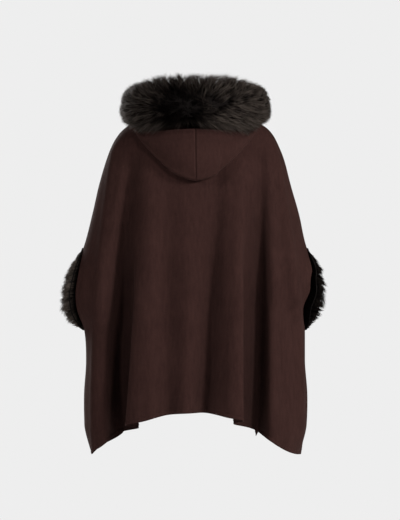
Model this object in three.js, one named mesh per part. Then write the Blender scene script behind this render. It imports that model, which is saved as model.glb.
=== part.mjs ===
// Hooded poncho in felted wool with a long-pile trim round the hood edge and both cuffs.
// It is shaped as worn, with nobody inside: open fronts, hood down on the back, cuffs at the sides.
// Millimetres, +Z up, +Y the way the wearer faces, +X to the wearer's right.
// The origin is the middle of the neck base, level with the shoulder seams where they meet the neck.
import * as THREE from "three";

// Driving dimensions
const CLOTH = 2.4; // double-faced wool, one wall
const SEAM = 0.3; // gap between two pieces where they are sewn together
const TRIM_SEAM = 1.2; // a little more under the hood trim, whose underside isn't level
const CUFF_MIDDLE = 448; // drop from the neck base to the middle of each cuff opening
const CUFF_HALF_HEIGHT = 105;
const CUFF_HALF_GAP = 62; // half the spread between back and front at the middle of a cuff opening
const CUFF_PILE = 33; // how far the cuff pile fills in from the cloth edge
const CUFF_PILE_INSIDE = 14; // pile that turns to the inside of the cuff
const CUFF_LEAN = 2; // how far the tips of the pile lean into the opening
const CUFF_OVERHANG = 3; // how far the pile stands back over the cloth it is sewn to
const CUFF_SAG = { left: 1.4, right: 1.6 }; // how much the pile hangs towards the opening's lower end
const CUFF_PILE_OUT = { ends: 12, left: 41, right: 49 }; // how far it stands off, at the ends and the middles
const HOOD_TIP = -181; // height of the lowest point of the hood
const HOOD_RISE = 128; // from the tip up to the hood's side corners
const HOOD_HALF_WIDTH = 153; // across the hood where it meets the trim
const HOOD_GAP = 5; // room between the hood and the back it lies on
const HOOD_FRONT_DROP = 30; // how far down the body the hood turns over at the front
const HOOD_CURVE = 1.75; // how the hood's lower outline rises from the tip: 1 is straight, 2 is round
const STAND_RISE = { back: 26, front: 14 }; // height of the hood's neck before it turns over
const STAND_LEAN = { back: 7, front: 5 }; // how far it leans out by then
const TURN_OVER = 5; // inner radius of that turn
const FOLD_RADIUS = { deep: 11, shallow: 4.5 }; // of the fold at the bottom of the hood, back and front
const FULLNESS = 0.12; // how far the hood stands out between fold and trim, as a share of that length
const INSIDE_LAYER_LIFT = 2; // how far the hood's inner layer eases off the back on its way up
const EDGE_HANG = 12; // most of the hood's cloth that hangs straight from the trim
const HEM_DROP = 860; // neck base to the side points of the hem

// Rows of a table with named columns.
function tableOf(columns, rows) {
  return rows.map((row) => Object.fromEntries(columns.map((column, i) => [column, row[i]])));
}

// The shape as worn, a row for each level. Heights at the side, centre back and centre front, half widths
// to the left and right, depths behind and in front of the side seams, and how square the section is.
// curlLeft and curlRight say how far out the back's hem line stays level before it falls to each side.
const SECTIONS = tableOf(
  ["level", "side", "back", "front", "left", "right", "deepBack", "deepFront", "square", "curlLeft", "curlRight"],
  [
    ["neck edge", 6, 10, -60, 72, 72, 62, 62, 2.0, 2.0, 2.0],
    ["neck seam", 0, 3, -68, 73, 73, 63, 64, 2.0, 2.0, 2.0],
    ["neck slope", -14, -26, -94, 112, 112, 76, 84, 2.1, 2.0, 2.0],
    ["shoulder", -28, -60, -124, 145, 146, 89, 104, 2.2, 2.0, 2.0],
    ["shoulder tip", -42, -96, -156, 171, 173, 101, 120, 2.25, 2.0, 2.0],
    ["arm top", -60, -130, -186, 190, 191, 110, 130, 2.3, 2.0, 2.0],
    ["armpit", -85, -166, -218, 206, 205, 117, 137, 2.3, 2.0, 2.0],
    ["chest", -125, -206, -252, 222, 221, 123, 143, 2.35, 2.0, 2.0],
    ["elbow rise", -190, -262, -305, 241, 238, 129, 148, 2.4, 2.0, 2.0],
    ["elbow", -260, -318, -358, 257, 258, 134, 152, 2.4, 2.0, 2.0],
    ["cuff top", -343, -381, -420, 279, 277, 139, 155, 2.4, 2.0, 2.0],
    ["cuff upper", -400, -430, -464, 304, 304, 142, 156, 2.4, 2.0, 2.0],
    ["cuff middle", -448, -471, -502, 316, 302, 145, 157, 2.4, 2.0, 2.1],
    ["cuff lower", -495, -510, -536, 308, 279, 148, 158, 2.4, 2.1, 2.3],
    ["cuff foot", -553, -556, -574, 277, 273, 152, 159, 2.4, 2.1, 2.6],
    ["hip", -630, -615, -624, 273, 273, 157, 161, 2.4, 2.1, 3.0],
    ["thigh", -710, -672, -674, 278, 279, 162, 163, 2.4, 2.2, 3.4],
    ["hem rise", -790, -722, -718, 277, 277, 166, 164, 2.4, 2.2, 3.6],
    ["hem", -860, -756, -750, 259, 259, 168, 165, 2.4, 2.15, 3.7],
  ],
);

// The folds. x is where each one runs at chest, cuff and hem height, out is how far it stands out there
// (in, where it is negative), and width is half its width at chest and hem. lap is how far the cloth
// doubles back on itself at cuff and hem height, and step is how far the layer nearer the middle stands
// clear of the one beside it. A fold whose straight is 1 goes straight in, and any other goes square to
// the form.
const FOLDS = tableOf(
  ["face", "name", "x", "out", "width", "lap", "step", "straight"],
  [
    ["back", "left valley", [-158, -192, -210], [-9, -34, -54], [19, 30], [0, 0], [0, 0], 1],
    ["back", "left flank", [-146, -162, -172], [0, -12, -20], [20, 28], [0, 0], [0, 0], 1],
    ["back", "left lap", [-140, -153, -159], [0, 0, 0], [16, 16], [7, 23], [7, 14], 0],
    ["back", "left ridge", [-112, -112, -110], [3, 9, 12], [26, 30], [0, 0], [0, 0], 1],
    ["back", "left hollow", [-60, -66, -64], [-1, -7, -11], [22, 24], [0, 0], [0, 0], 1],
    ["back", "middle ridge", [-20, -22, -24], [1, 6, 8], [22, 24], [0, 0], [0, 0], 1],
    ["back", "right hollow", [62, 44, 28], [-8, -20, -25], [18, 24], [0, 0], [0, 0], 1],
    ["back", "right ridge", [112, 96, 86], [4, 10, 12], [18, 22], [0, 0], [0, 0], 1],
    ["back", "right lap", [128, 115, 108], [0, 0, 0], [15, 16], [12, 20], [9, 13], 0],
    ["back", "right valley", [176, 168, 165], [-9, -34, -50], [20, 26], [0, 0], [0, 0], 1],
    ["back", "right arm ridge", [199, 247, 262], [7, 12, 3], [14, 20], [0, 0], [0, 0], 0],
    ["back", "left arm ridge", [-205, -240, -250], [4, 8, 8], [16, 22], [0, 0], [0, 0], 0],
    ["front", "right front valley", [150, 190, 206], [-8, -22, -34], [28, 34], [0, 0], [0, 0], 0],
    ["front", "right front ridge", [105, 150, 176], [4, 9, 12], [26, 28], [0, 0], [0, 0], 0],
    ["front", "left front valley", [-146, -184, -204], [-8, -24, -32], [28, 34], [0, 0], [0, 0], 0],
    ["front", "left front ridge", [-100, -146, -172], [4, 9, 12], [26, 28], [0, 0], [0, 0], 0],
  ],
);
const FOLD_LEVELS = [100, 450, HEM_DROP]; // drops of the fold table's chest, cuff and hem columns
const FOLD_START = 34; // drop at which the first folds leave the neck
const FOLD_LIFT = 0.05; // how far the hem rises where a fold goes in, as a share of the depth
const LAP_START = { left: 190, right: 90 }; // drop at which the laps begin
const STEP_WIDTH = 1.4; // a lap's step is this much wider than the lap

// The front edges, left and right: how far they hang from the middle at neck and hem, and how much the
// lower corner drops below the hem line.
const FRONT_EDGES = {
  left: { neck: 14, hem: 150, cornerDrop: 8 },
  right: { neck: 14, hem: 151, cornerDrop: 41 },
};
const CORNER = { width: 14, start: 560 }; // breadth of that corner, and the drop at which it begins
const FRONT_BOW = 0.4; // how much the front edges bow on their way down, 0 for straight

// The hood trim, a row for each station from centre back to the front end: the angle of the hood column
// it is sewn to, the distance and height of the roll's middle, its half height and half thickness, and
// how far its underside clears the shoulders. The hood's edge is sewn along its underside.
const HOOD_TRIM = tableOf(
  ["station", "angle", "reach", "height", "tall", "thick", "clear"],
  [
    ["centre back", 0, 140, 21, 69, 46, 22],
    ["back", 20, 149, 16, 68, 46, 22],
    ["back corner", 40, 162, 8, 60, 45, 22],
    ["back side", 56, 158, 12, 52, 43, 22],
    ["side", 72, 152, 9, 48, 41, 22],
    ["shoulder", 90, 148, 6, 47, 40, 21],
    ["front side", 115, 142, -4, 43, 37, 21],
    ["front", 140, 133, -26, 41, 35, 21],
    ["front end", 169, 126, -60, 39, 34, 21],
  ],
);
const TRIM_LEVEL = 40; // drop at which the hood's columns give the trim its directions
const TRIM_END = 176; // angle of the very tip of the trim's rounded end
const TRIM_TIPS = [
  { way: 0.5, size: 0.86 },
  { way: 0.85, size: 0.55 },
  { way: 1, size: 0.2 },
]; // how the trim rounds off between the hood's last column and TRIM_END
const TRIM_CORNERS = 14; // corners of one section of the hood trim
const SLOPE_PROBE = 1.03; // how much further out the shoulder's height is read again for its slope
const MOST_LIFT = 1.7; // keeps the trim's underside whole where the shoulders fall away steeply
const HOOD_BACK_ANGLES = [0, 7, 14, 21, 28, 35, 42, 49, 56, 63, 70, 77, 84]; // columns of one half, at the back
const CUFF_STEPS = 10; // rows of cloth along one cuff opening
const CUFF_CORNERS = 8; // corners of the round side of one section of a cuff trim
const FRONT_COLUMNS = 14;

const radians = THREE.MathUtils.degToRad;
const smooth = (value, low, high) => THREE.MathUtils.smoothstep(value, low, high);
const mix = THREE.MathUtils.lerp;

// A smooth curve through a column of a table, read at any value of its key column.
function columnCurve(rows, key, column) {
  const keys = rows.map((row) => row[key]);
  const values = rows.map((row) => row[column]);
  const slope = (i) => {
    const before = Math.max(i - 1, 0);
    const after = Math.min(i + 1, rows.length - 1);
    return (values[after] - values[before]) / (keys[after] - keys[before]);
  };
  return (at) => {
    let i = 0;
    while (i < rows.length - 2 && at > keys[i + 1]) i += 1;
    const step = keys[i + 1] - keys[i];
    const t = THREE.MathUtils.clamp((at - keys[i]) / step, 0, 1);
    const rise = (values[i + 1] - values[i]) / step;
    const start = Math.abs(slope(i)) > 3 * Math.abs(rise) ? 3 * rise : slope(i);
    const end = Math.abs(slope(i + 1)) > 3 * Math.abs(rise) ? 3 * rise : slope(i + 1);
    return (
      values[i] * (1 + 2 * t) * (1 - t) ** 2 +
      values[i + 1] * t * t * (3 - 2 * t) +
      step * (start * t * (1 - t) ** 2 - end * t * t * (1 - t))
    );
  };
}

const DROPS = SECTIONS.map((row) => ({ ...row, drop: -row.side }));
const section = Object.fromEntries(
  ["back", "front", "left", "right", "deepBack", "deepFront", "square", "curlLeft", "curlRight"].map((column) => [
    column,
    columnCurve(DROPS, "drop", column),
  ]),
);

// Three table values, at chest, cuff and hem height, joined by a parabola.
function foldValue([chest, cuff, hem], drop) {
  const [a, b, c] = FOLD_LEVELS;
  const d = Math.max(drop, a);
  return (
    (chest * (d - b) * (d - c)) / ((a - b) * (a - c)) +
    (cuff * (d - a) * (d - c)) / ((b - a) * (b - c)) +
    (hem * (d - a) * (d - b)) / ((c - a) * (c - b))
  );
}

// The plain form at an angle from centre back (positive to the right) and a drop: a rounded section
// with no folds. Returns the point and the section's outward direction seen from above.
function form(angle, drop) {
  const right = Math.sin(angle) >= 0;
  const back = Math.cos(angle) >= 0;
  const half = right ? section.right(drop) : section.left(drop);
  const deep = back ? section.deepBack(drop) : section.deepFront(drop);
  const square = section.square(drop);
  const across = Math.abs(Math.sin(angle)) ** (2 / square);
  const along = Math.abs(Math.cos(angle)) ** (2 / square);
  const x = (right ? 1 : -1) * half * across;
  const y = (back ? -1 : 1) * deep * along;
  const curl = back ? (right ? section.curlRight(drop) : section.curlLeft(drop)) : 2;
  const middle = back ? section.back(drop) : section.front(drop);
  const z = mix(-drop, middle, Math.abs(Math.cos(angle)) ** curl);
  const outward = new THREE.Vector2(
    (right ? 1 : -1) * (across ** (square - 1) / half),
    (back ? -1 : 1) * (along ** (square - 1) / deep),
  ).normalize();
  return { point: new THREE.Vector3(x, y, z), outward };
}

// The angle at which the plain form has a given x, on the back or the front.
function angleAt(x, drop, face) {
  const half = x >= 0 ? section.right(drop) : section.left(drop);
  const lean = Math.asin(Math.min(1, Math.abs(x) / half) ** (section.square(drop) / 2));
  return Math.sign(x) * (face === "back" ? lean : Math.PI - lean);
}

const PEAK = Math.SQRT2 * Math.exp(0.5); // makes t * exp(-t * t) reach 1
const swing = (t) => PEAK * t * Math.exp(-t * t);

// The outer face of the cloth, folds included.
function skin(angle, drop) {
  const { point, outward } = form(angle, drop);
  const here = new THREE.Vector2(point.x, point.y);
  const sideways = new THREE.Vector2(-outward.y, outward.x);
  const ahead = new THREE.Vector2(0, Math.cos(angle) >= 0 ? -1 : 1);
  const moved = new THREE.Vector2();
  let lift = 0;
  for (const fold of FOLDS) {
    const x = foldValue(fold.x, drop);
    const centre = angleAt(x, Math.max(drop, FOLD_LEVELS[0]), fold.face);
    const middle = form(centre, drop).point;
    const away = here.distanceTo(new THREE.Vector2(middle.x, middle.y)) * Math.sign(angle - centre);
    const grown = smooth(drop, FOLD_START, FOLD_LEVELS[0]);
    const width = mix(fold.width[0], fold.width[1], smooth(drop, FOLD_LEVELS[0], HEM_DROP));
    const out = grown * foldValue(fold.out, drop) * Math.exp(-((away / width) ** 2));
    moved.addScaledVector(fold.straight ? ahead : outward, out);
    lift -= FOLD_LIFT * out * smooth(drop, FOLD_LEVELS[1], HEM_DROP);
    const lapped = smooth(drop, x < 0 ? LAP_START.left : LAP_START.right, FOLD_LEVELS[1]);
    const lap = lapped * foldValue([0, ...fold.lap], drop);
    const step = lapped * foldValue([0, ...fold.step], drop);
    moved.addScaledVector(sideways, -lap * swing(away / width));
    moved.addScaledVector(outward, -Math.sign(x) * step * swing(away / (STEP_WIDTH * width)));
  }
  return point.add(new THREE.Vector3(moved.x, moved.y, lift));
}

const NECK_EDGE = DROPS[0].drop;
const SIDE_STEP = 0.004; // short steps, in radians and millimetres, that give directions in the cloth
const DOWN_STEP = 1.5;

// The way across the cloth, to the right as seen from outside.
const skinAcross = (angle, drop) => skin(angle + SIDE_STEP, drop).sub(skin(angle - SIDE_STEP, drop));

// The direction square to the cloth, pointing out.
function skinNormal(angle, drop) {
  const above = skin(angle, Math.max(drop - DOWN_STEP, NECK_EDGE));
  const below = skin(angle, Math.min(drop + DOWN_STEP, HEM_DROP));
  return below.sub(above).cross(skinAcross(angle, drop)).normalize();
}

// Height of the plain form over a point seen from above, near the neck and shoulders.
function shoulderHeight(x, y) {
  const half = x >= 0 ? section.right : section.left;
  const deep = y <= 0 ? section.deepBack : section.deepFront;
  let low = NECK_EDGE;
  let high = FOLD_LEVELS[1];
  for (let i = 0; i < 40; i += 1) {
    const drop = (low + high) / 2;
    const n = section.square(drop);
    const inside = (Math.abs(x) / half(drop)) ** n + (Math.abs(y) / deep(drop)) ** n < 1;
    if (inside) high = drop;
    else low = drop;
  }
  const lean = Math.asin(Math.min(1, Math.abs(x) / half(low)) ** (section.square(low) / 2));
  return form((x >= 0 ? 1 : -1) * (y <= 0 ? lean : Math.PI - lean), low).point.z;
}

// A closed mesh from points and triangles.
function closedMesh(points, triangles) {
  const geometry = new THREE.BufferGeometry();
  geometry.setAttribute("position", new THREE.Float32BufferAttribute(points.flatMap((p) => p.toArray()), 3));
  geometry.setIndex(triangles);
  geometry.computeVertexNormals();
  return geometry;
}

// A wall of cloth between two grids of points. Rows run down and columns to the right, seen from outside.
function wall(outer, inner) {
  const rows = outer.length;
  const columns = outer[0].length;
  const triangles = [];
  const at = (face, row, column) => (face * rows + row) * columns + column;
  const quad = (a, b, c, d) => triangles.push(a, b, c, a, c, d);
  for (let r = 0; r < rows - 1; r += 1) {
    for (let c = 0; c < columns - 1; c += 1) {
      quad(at(0, r, c), at(0, r + 1, c), at(0, r + 1, c + 1), at(0, r, c + 1));
      quad(at(1, r, c), at(1, r, c + 1), at(1, r + 1, c + 1), at(1, r + 1, c));
    }
    quad(at(0, r, 0), at(1, r, 0), at(1, r + 1, 0), at(0, r + 1, 0));
    quad(at(0, r, columns - 1), at(0, r + 1, columns - 1), at(1, r + 1, columns - 1), at(1, r, columns - 1));
  }
  for (let c = 0; c < columns - 1; c += 1) {
    quad(at(0, 0, c), at(0, 0, c + 1), at(1, 0, c + 1), at(1, 0, c));
    quad(at(0, rows - 1, c), at(1, rows - 1, c), at(1, rows - 1, c + 1), at(0, rows - 1, c + 1));
  }
  return closedMesh([...outer.flat(), ...inner.flat()], triangles);
}

// A solid roll through sections that each have the same number of corners. A ring joins its last section
// to its first, and any other roll is closed by a flat end.
function roll(sections, ring) {
  const corners = sections[0].length;
  const points = sections.flat();
  const triangles = [];
  const at = (s, k) => (s % sections.length) * corners + (k % corners);
  const spans = ring ? sections.length : sections.length - 1;
  for (let s = 0; s < spans; s += 1) {
    for (let k = 0; k < corners; k += 1) {
      triangles.push(at(s, k), at(s + 1, k), at(s + 1, k + 1), at(s, k), at(s + 1, k + 1), at(s, k + 1));
    }
  }
  if (!ring) {
    const last = sections.length - 1;
    for (let k = 1; k < corners - 1; k += 1) {
      triangles.push(at(0, 0), at(0, k), at(0, k + 1));
      triangles.push(at(last, 0), at(last, k + 1), at(last, k));
    }
  }
  return closedMesh(points, triangles);
}

// How far the cloth is pulled back from the side seam at a cuff opening.
function cuffGap(drop) {
  const t = (drop - CUFF_MIDDLE) / CUFF_HALF_HEIGHT;
  return Math.abs(t) < 1 ? CUFF_HALF_GAP * Math.sqrt(1 - t * t) : 0;
}

// The angle, from centre back, at which the back or a front ends at the side.
function sideAngle(drop, face) {
  const deep = face === "back" ? section.deepBack(drop) : section.deepFront(drop);
  const lean = Math.asin((cuffGap(drop) / deep) ** (section.square(drop) / 2));
  return face === "back" ? Math.PI / 2 - lean : Math.PI / 2 + lean;
}

// The angle of a front edge.
function frontAngle(drop, side) {
  const edge = FRONT_EDGES[side];
  const half = section[side](drop);
  const way = mix(Math.max(drop, 0) / HEM_DROP, smooth(drop, 0, HEM_DROP), FRONT_BOW);
  const x = mix(edge.neck, edge.hem, way);
  return Math.PI - Math.asin((x / half) ** (section.square(drop) / 2));
}

// The rows of cloth from the neck edge to the hem: the levels of the table, some between them, and
// closer rows along the cuff openings.
const BETWEEN_ROWS = [225, 300, 590, 670, 750, 828];
const ROWS = [
  ...DROPS.map((row) => row.drop).filter((drop) => Math.abs(drop - CUFF_MIDDLE) > CUFF_HALF_HEIGHT),
  ...BETWEEN_ROWS,
  ...Array.from({ length: CUFF_STEPS + 1 }, (_, i) => {
    return CUFF_MIDDLE - CUFF_HALF_HEIGHT * Math.cos((Math.PI * i) / CUFF_STEPS);
  }),
].sort((a, b) => a - b);

// The columns of the back, as angles in degrees from centre back, closer together along the two laps.
// LAP_HOME is where the laps lie in this list; at each row the columns move with them.
const LAP_HOME = { left: -30, right: 21 };
const LAP_REACH = 8; // columns within this angle of a lap move just as it does
const lapColumns = (home) => Array.from({ length: 11 }, (_, i) => home + 1.2 * (i - 5));
const BACK_COLUMNS = [
  ...[-90, -85, -80, -75, -70, -65, -60, -55.5, -51, -47, -43, -40, -37.5],
  ...lapColumns(LAP_HOME.left),
  ...[-22, -18.5, -15, -11.5, -8, -4.5, -1.5, 1.5, 4.5, 7, 10, 13],
  ...lapColumns(LAP_HOME.right),
  ...[29, 32, 35.5, 39, 43, 47, 51, 55.5, 60, 65, 70, 75, 80, 85, 90],
];
const STILL_ANGLE = 60; // columns nearer the middle than this don't move aside for the cuffs
const FRONT_SIDE_COLUMNS = 5; // how many of the front's columns are beside the cuff

// Builds one panel of the body as a wall, from its angle at each row and column.
function bodyPanel(columns, angleOf, edgeShift, dropOf) {
  const outer = [];
  const inner = [];
  for (const drop of ROWS) {
    const row = [];
    const behind = [];
    for (let c = 0; c < columns; c += 1) {
      const angle = angleOf(drop, c);
      const point = skin(angle, drop).add(edgeShift(drop, c));
      point.z -= dropOf(drop, point);
      row.push(point);
      behind.push(point.clone().addScaledVector(skinNormal(angle, drop), -CLOTH));
    }
    outer.push(row);
    inner.push(behind);
  }
  return wall(outer, inner);
}

const NO_SHIFT = new THREE.Vector3();
const noDrop = () => 0;

// Reads a broken line through pairs of values.
function alongPairs(pairs, at) {
  let i = 0;
  while (i < pairs.length - 2 && at > pairs[i + 1][0]) i += 1;
  const [from, low] = pairs[i];
  const [to, high] = pairs[i + 1];
  return mix(low, high, (at - from) / (to - from));
}

// The angle of a lap of the back, in degrees.
function lapAngle(name, drop) {
  const fold = FOLDS.find((row) => row.name === name);
  return THREE.MathUtils.radToDeg(angleAt(foldValue(fold.x, drop), Math.max(drop, FOLD_LEVELS[0]), "back"));
}

function backPanel() {
  const angleOf = (drop, column) => {
    const edge = THREE.MathUtils.radToDeg(sideAngle(drop, "back"));
    const left = lapAngle("left lap", drop);
    const right = lapAngle("right lap", drop);
    const pairs = [
      [-90, -edge],
      [-STILL_ANGLE, -STILL_ANGLE],
      [LAP_HOME.left - LAP_REACH, left - LAP_REACH],
      [LAP_HOME.left + LAP_REACH, left + LAP_REACH],
      [0, 0],
      [LAP_HOME.right - LAP_REACH, right - LAP_REACH],
      [LAP_HOME.right + LAP_REACH, right + LAP_REACH],
      [STILL_ANGLE, STILL_ANGLE],
      [90, edge],
    ];
    return radians(alongPairs(pairs, BACK_COLUMNS[column]));
  };
  const last = BACK_COLUMNS.length - 1;
  const back = new THREE.Vector3(0, -SEAM / 2, 0);
  const edgeShift = (drop, column) => (column === 0 || column === last ? back : NO_SHIFT);
  return bodyPanel(BACK_COLUMNS.length, angleOf, edgeShift, noDrop);
}

// The angle of a column of a front panel, counted from the side seam.
function frontColumn(side, drop, column) {
  const pairs = [
    [0, sideAngle(drop, "front")],
    [FRONT_SIDE_COLUMNS, Math.PI - radians(STILL_ANGLE)],
    [FRONT_COLUMNS - 1, frontAngle(drop, side)],
  ];
  return alongPairs(pairs, column);
}

function frontPanel(side) {
  const sign = side === "right" ? 1 : -1;
  const edge = FRONT_EDGES[side];
  const last = FRONT_COLUMNS - 1;
  const angleOf = (drop, column) => sign * frontColumn(side, drop, side === "right" ? column : last - column);
  const sideColumn = side === "right" ? 0 : last;
  const forward = new THREE.Vector3(0, SEAM / 2, 0);
  const edgeShift = (drop, column) => (column === sideColumn ? forward : NO_SHIFT);
  const dropOf = (drop, point) => {
    const away = Math.max(0, Math.abs(point.x) - edge.hem);
    return edge.cornerDrop * Math.exp(-away / CORNER.width) * smooth(drop, CORNER.start, HEM_DROP) ** 2;
  };
  return bodyPanel(FRONT_COLUMNS, angleOf, edgeShift, dropOf);
}

const trim = Object.fromEntries(
  ["reach", "height", "tall", "thick", "clear"].map((column) => [column, columnCurve(HOOD_TRIM, "angle", column)]),
);

// The columns of one half of the hood, in degrees from centre back. At the front they are the columns of
// the front panel, so the neck seam is even.
const HOOD_ANGLES = [
  ...HOOD_BACK_ANGLES,
  ...Array.from({ length: FRONT_COLUMNS }, (_, column) => frontColumn("right", NECK_EDGE, column)).map(
    THREE.MathUtils.radToDeg,
  ),
];

// The level direction from the middle of the neck through a column of the hood.
const trimDirection = (angle) => form(radians(angle), TRIM_LEVEL).point.setZ(0).normalize();

// One section of the hood trim at an angle in degrees. The first corner is the lowest, where the hood's
// edge is sewn.
function trimSection(angle, size = 1) {
  const degrees = Math.abs(angle);
  const outward = trimDirection(angle);
  const middle = outward.clone().multiplyScalar(trim.reach(degrees));
  middle.z = trim.height(degrees);
  return Array.from({ length: TRIM_CORNERS }, (_, k) => {
    const turn = (k / TRIM_CORNERS) * 2 * Math.PI - Math.PI / 2;
    const point = middle.clone().addScaledVector(outward, size * trim.thick(degrees) * Math.cos(turn));
    point.z += size * trim.tall(degrees) * Math.sin(turn);
    const below = shoulderHeight(point.x, point.y);
    const further = shoulderHeight(point.x * SLOPE_PROBE, point.y * SLOPE_PROBE);
    const slope = (further - below) / ((SLOPE_PROBE - 1) * Math.hypot(point.x, point.y));
    point.z = Math.max(point.z, below + trim.clear(degrees) * Math.min(MOST_LIFT, Math.hypot(1, slope)));
    return point;
  });
}

function hoodTrim() {
  const last = HOOD_ANGLES[HOOD_ANGLES.length - 1];
  const half = [
    ...HOOD_ANGLES.map((angle) => ({ angle, size: 1 })),
    ...TRIM_TIPS.map(({ way, size }) => ({ angle: mix(last, TRIM_END, way), size })),
  ];
  const stations = [...half.slice(1).reverse().map(({ angle, size }) => ({ angle: -angle, size })), ...half];
  return roll(stations.map(({ angle, size }) => trimSection(angle, size)), false);
}

const TRIM_PROBE = 3; // degrees to each side that give the way along the trim

// Where the hood's edge meets its trim, and the way square to the trim's underside just inside it.
function sewnEdge(angle) {
  const corners = trimSection(angle);
  const point = corners[0];
  const inward = corners[TRIM_CORNERS - 1].clone().sub(point);
  const along = trimSection(angle + TRIM_PROBE)[0].sub(trimSection(angle - TRIM_PROBE)[0]);
  return { point, away: inward.cross(along).normalize() };
}

// Height of the hood's lower outline at a distance from the middle, as seen from behind.
const hoodOutline = (x) => HOOD_TIP + HOOD_RISE * (Math.abs(x) / HOOD_HALF_WIDTH) ** HOOD_CURVE;

const HOOD_FRONT_TURN = { from: 84, to: 125 }; // between these angles the hood's depth eases to the front's
const DEEPEST_HOOD = 200; // more than the drop of the hood's tip
const FULL_FOLD = 100; // drop from which the fold at the bottom has its full radius

// The drop at which the bottom of the hood lies at an angle in degrees.
function hoodDrop(degrees) {
  let low = 0;
  let high = DEEPEST_HOOD;
  for (let i = 0; i < 30; i += 1) {
    const drop = (low + high) / 2;
    const { point } = form(radians(degrees), drop);
    if (point.z > hoodOutline(point.x)) low = drop;
    else high = drop;
  }
  return mix(low, HOOD_FRONT_DROP, smooth(Math.abs(degrees), HOOD_FRONT_TURN.from, HOOD_FRONT_TURN.to));
}

// One section of the hood at an angle in degrees, from the trim to the neck seam, on the right side of
// the cloth. It hangs from the trim as a pouch, deep at the back and shallow at the front, comes up
// beside the body, and turns over down to the neck.
function hoodSection(degrees) {
  const angle = radians(degrees);
  const { outward } = form(angle, 0);
  const out = new THREE.Vector3(outward.x, outward.y, 0);
  const seamUp = skinNormal(angle, NECK_EDGE).cross(skinAcross(angle, NECK_EDGE)).normalize();
  const neck = skin(angle, NECK_EDGE).addScaledVector(seamUp, SEAM);
  const front = smooth(Math.abs(degrees), 20, 120);
  const stand = mix(STAND_RISE.back, STAND_RISE.front, front);
  const lean = mix(STAND_LEAN.back, STAND_LEAN.front, front);
  const up = (rise, reach) => neck.clone().addScaledVector(out, reach).setZ(neck.z + rise);
  const bottom = hoodDrop(degrees);
  const bend = mix(FOLD_RADIUS.shallow, FOLD_RADIUS.deep, smooth(bottom, HOOD_FRONT_DROP, FULL_FOLD));
  const offBody = (share) => {
    const drop = bottom * share;
    return form(angle, drop).point.addScaledVector(skinNormal(angle, drop), HOOD_GAP);
  };
  const square = skinNormal(angle, bottom);
  const down = offBody(1).sub(offBody(0.9)).normalize();
  const folded = (turn) => {
    return offBody(1)
      .addScaledVector(square, bend * (1 - Math.cos(turn)))
      .addScaledVector(down, bend * (Math.sin(turn) - 1));
  };
  const { point: edge, away } = sewnEdge(degrees);
  const sewn = edge.clone().addScaledVector(away, TRIM_SEAM);
  const hang = sewn.distanceTo(folded(Math.PI));
  const below = sewn.clone().addScaledVector(away, Math.min(EDGE_HANG, 0.3 * hang));
  const full = (share) => {
    return folded(Math.PI)
      .lerp(below, share)
      .addScaledVector(out, FULLNESS * hang * Math.sin(Math.PI * share));
  };
  return [
    sewn,
    below,
    full(0.75),
    full(0.5),
    full(0.25),
    ...[1, 0.75, 0.5, 0.25, 0].map((share) => folded(Math.PI * share)),
    offBody(0.7),
    offBody(0.35).addScaledVector(square, INSIDE_LAYER_LIFT),
    up(stand, lean + 2 * TURN_OVER),
    up(stand + TURN_OVER, lean + TURN_OVER),
    up(stand, lean),
    up(stand * 0.5, lean * 0.3),
    neck,
  ];
}

// Both halves of the hood, with the seam down the middle.
function hoodHalves() {
  const angles = [...HOOD_ANGLES.slice(1).reverse().map((angle) => -angle), ...HOOD_ANGLES];
  const columns = angles.map(hoodSection);
  const steps = columns[0].length;
  const outer = Array.from({ length: steps }, (_, r) => columns.map((column) => column[r]));
  const inner = outer.map((row, r) =>
    row.map((point, c) => {
      const down = outer[Math.min(r + 1, steps - 1)][c].clone().sub(outer[Math.max(r - 1, 0)][c]);
      const across = row[Math.min(c + 1, row.length - 1)].clone().sub(row[Math.max(c - 1, 0)]);
      return point.clone().addScaledVector(down.cross(across).normalize(), -CLOTH);
    }),
  );
  const middle = HOOD_ANGLES.length - 1;
  const half = (grid, from, to, shift) =>
    grid.map((row) => row.slice(from, to).map((point) => point.clone().add(new THREE.Vector3(shift, 0, 0))));
  return {
    left: wall(half(outer, 0, middle + 1, -SEAM / 2), half(inner, 0, middle + 1, -SEAM / 2)),
    right: wall(half(outer, middle, angles.length, SEAM / 2), half(inner, middle, angles.length, SEAM / 2)),
  };
}

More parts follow.
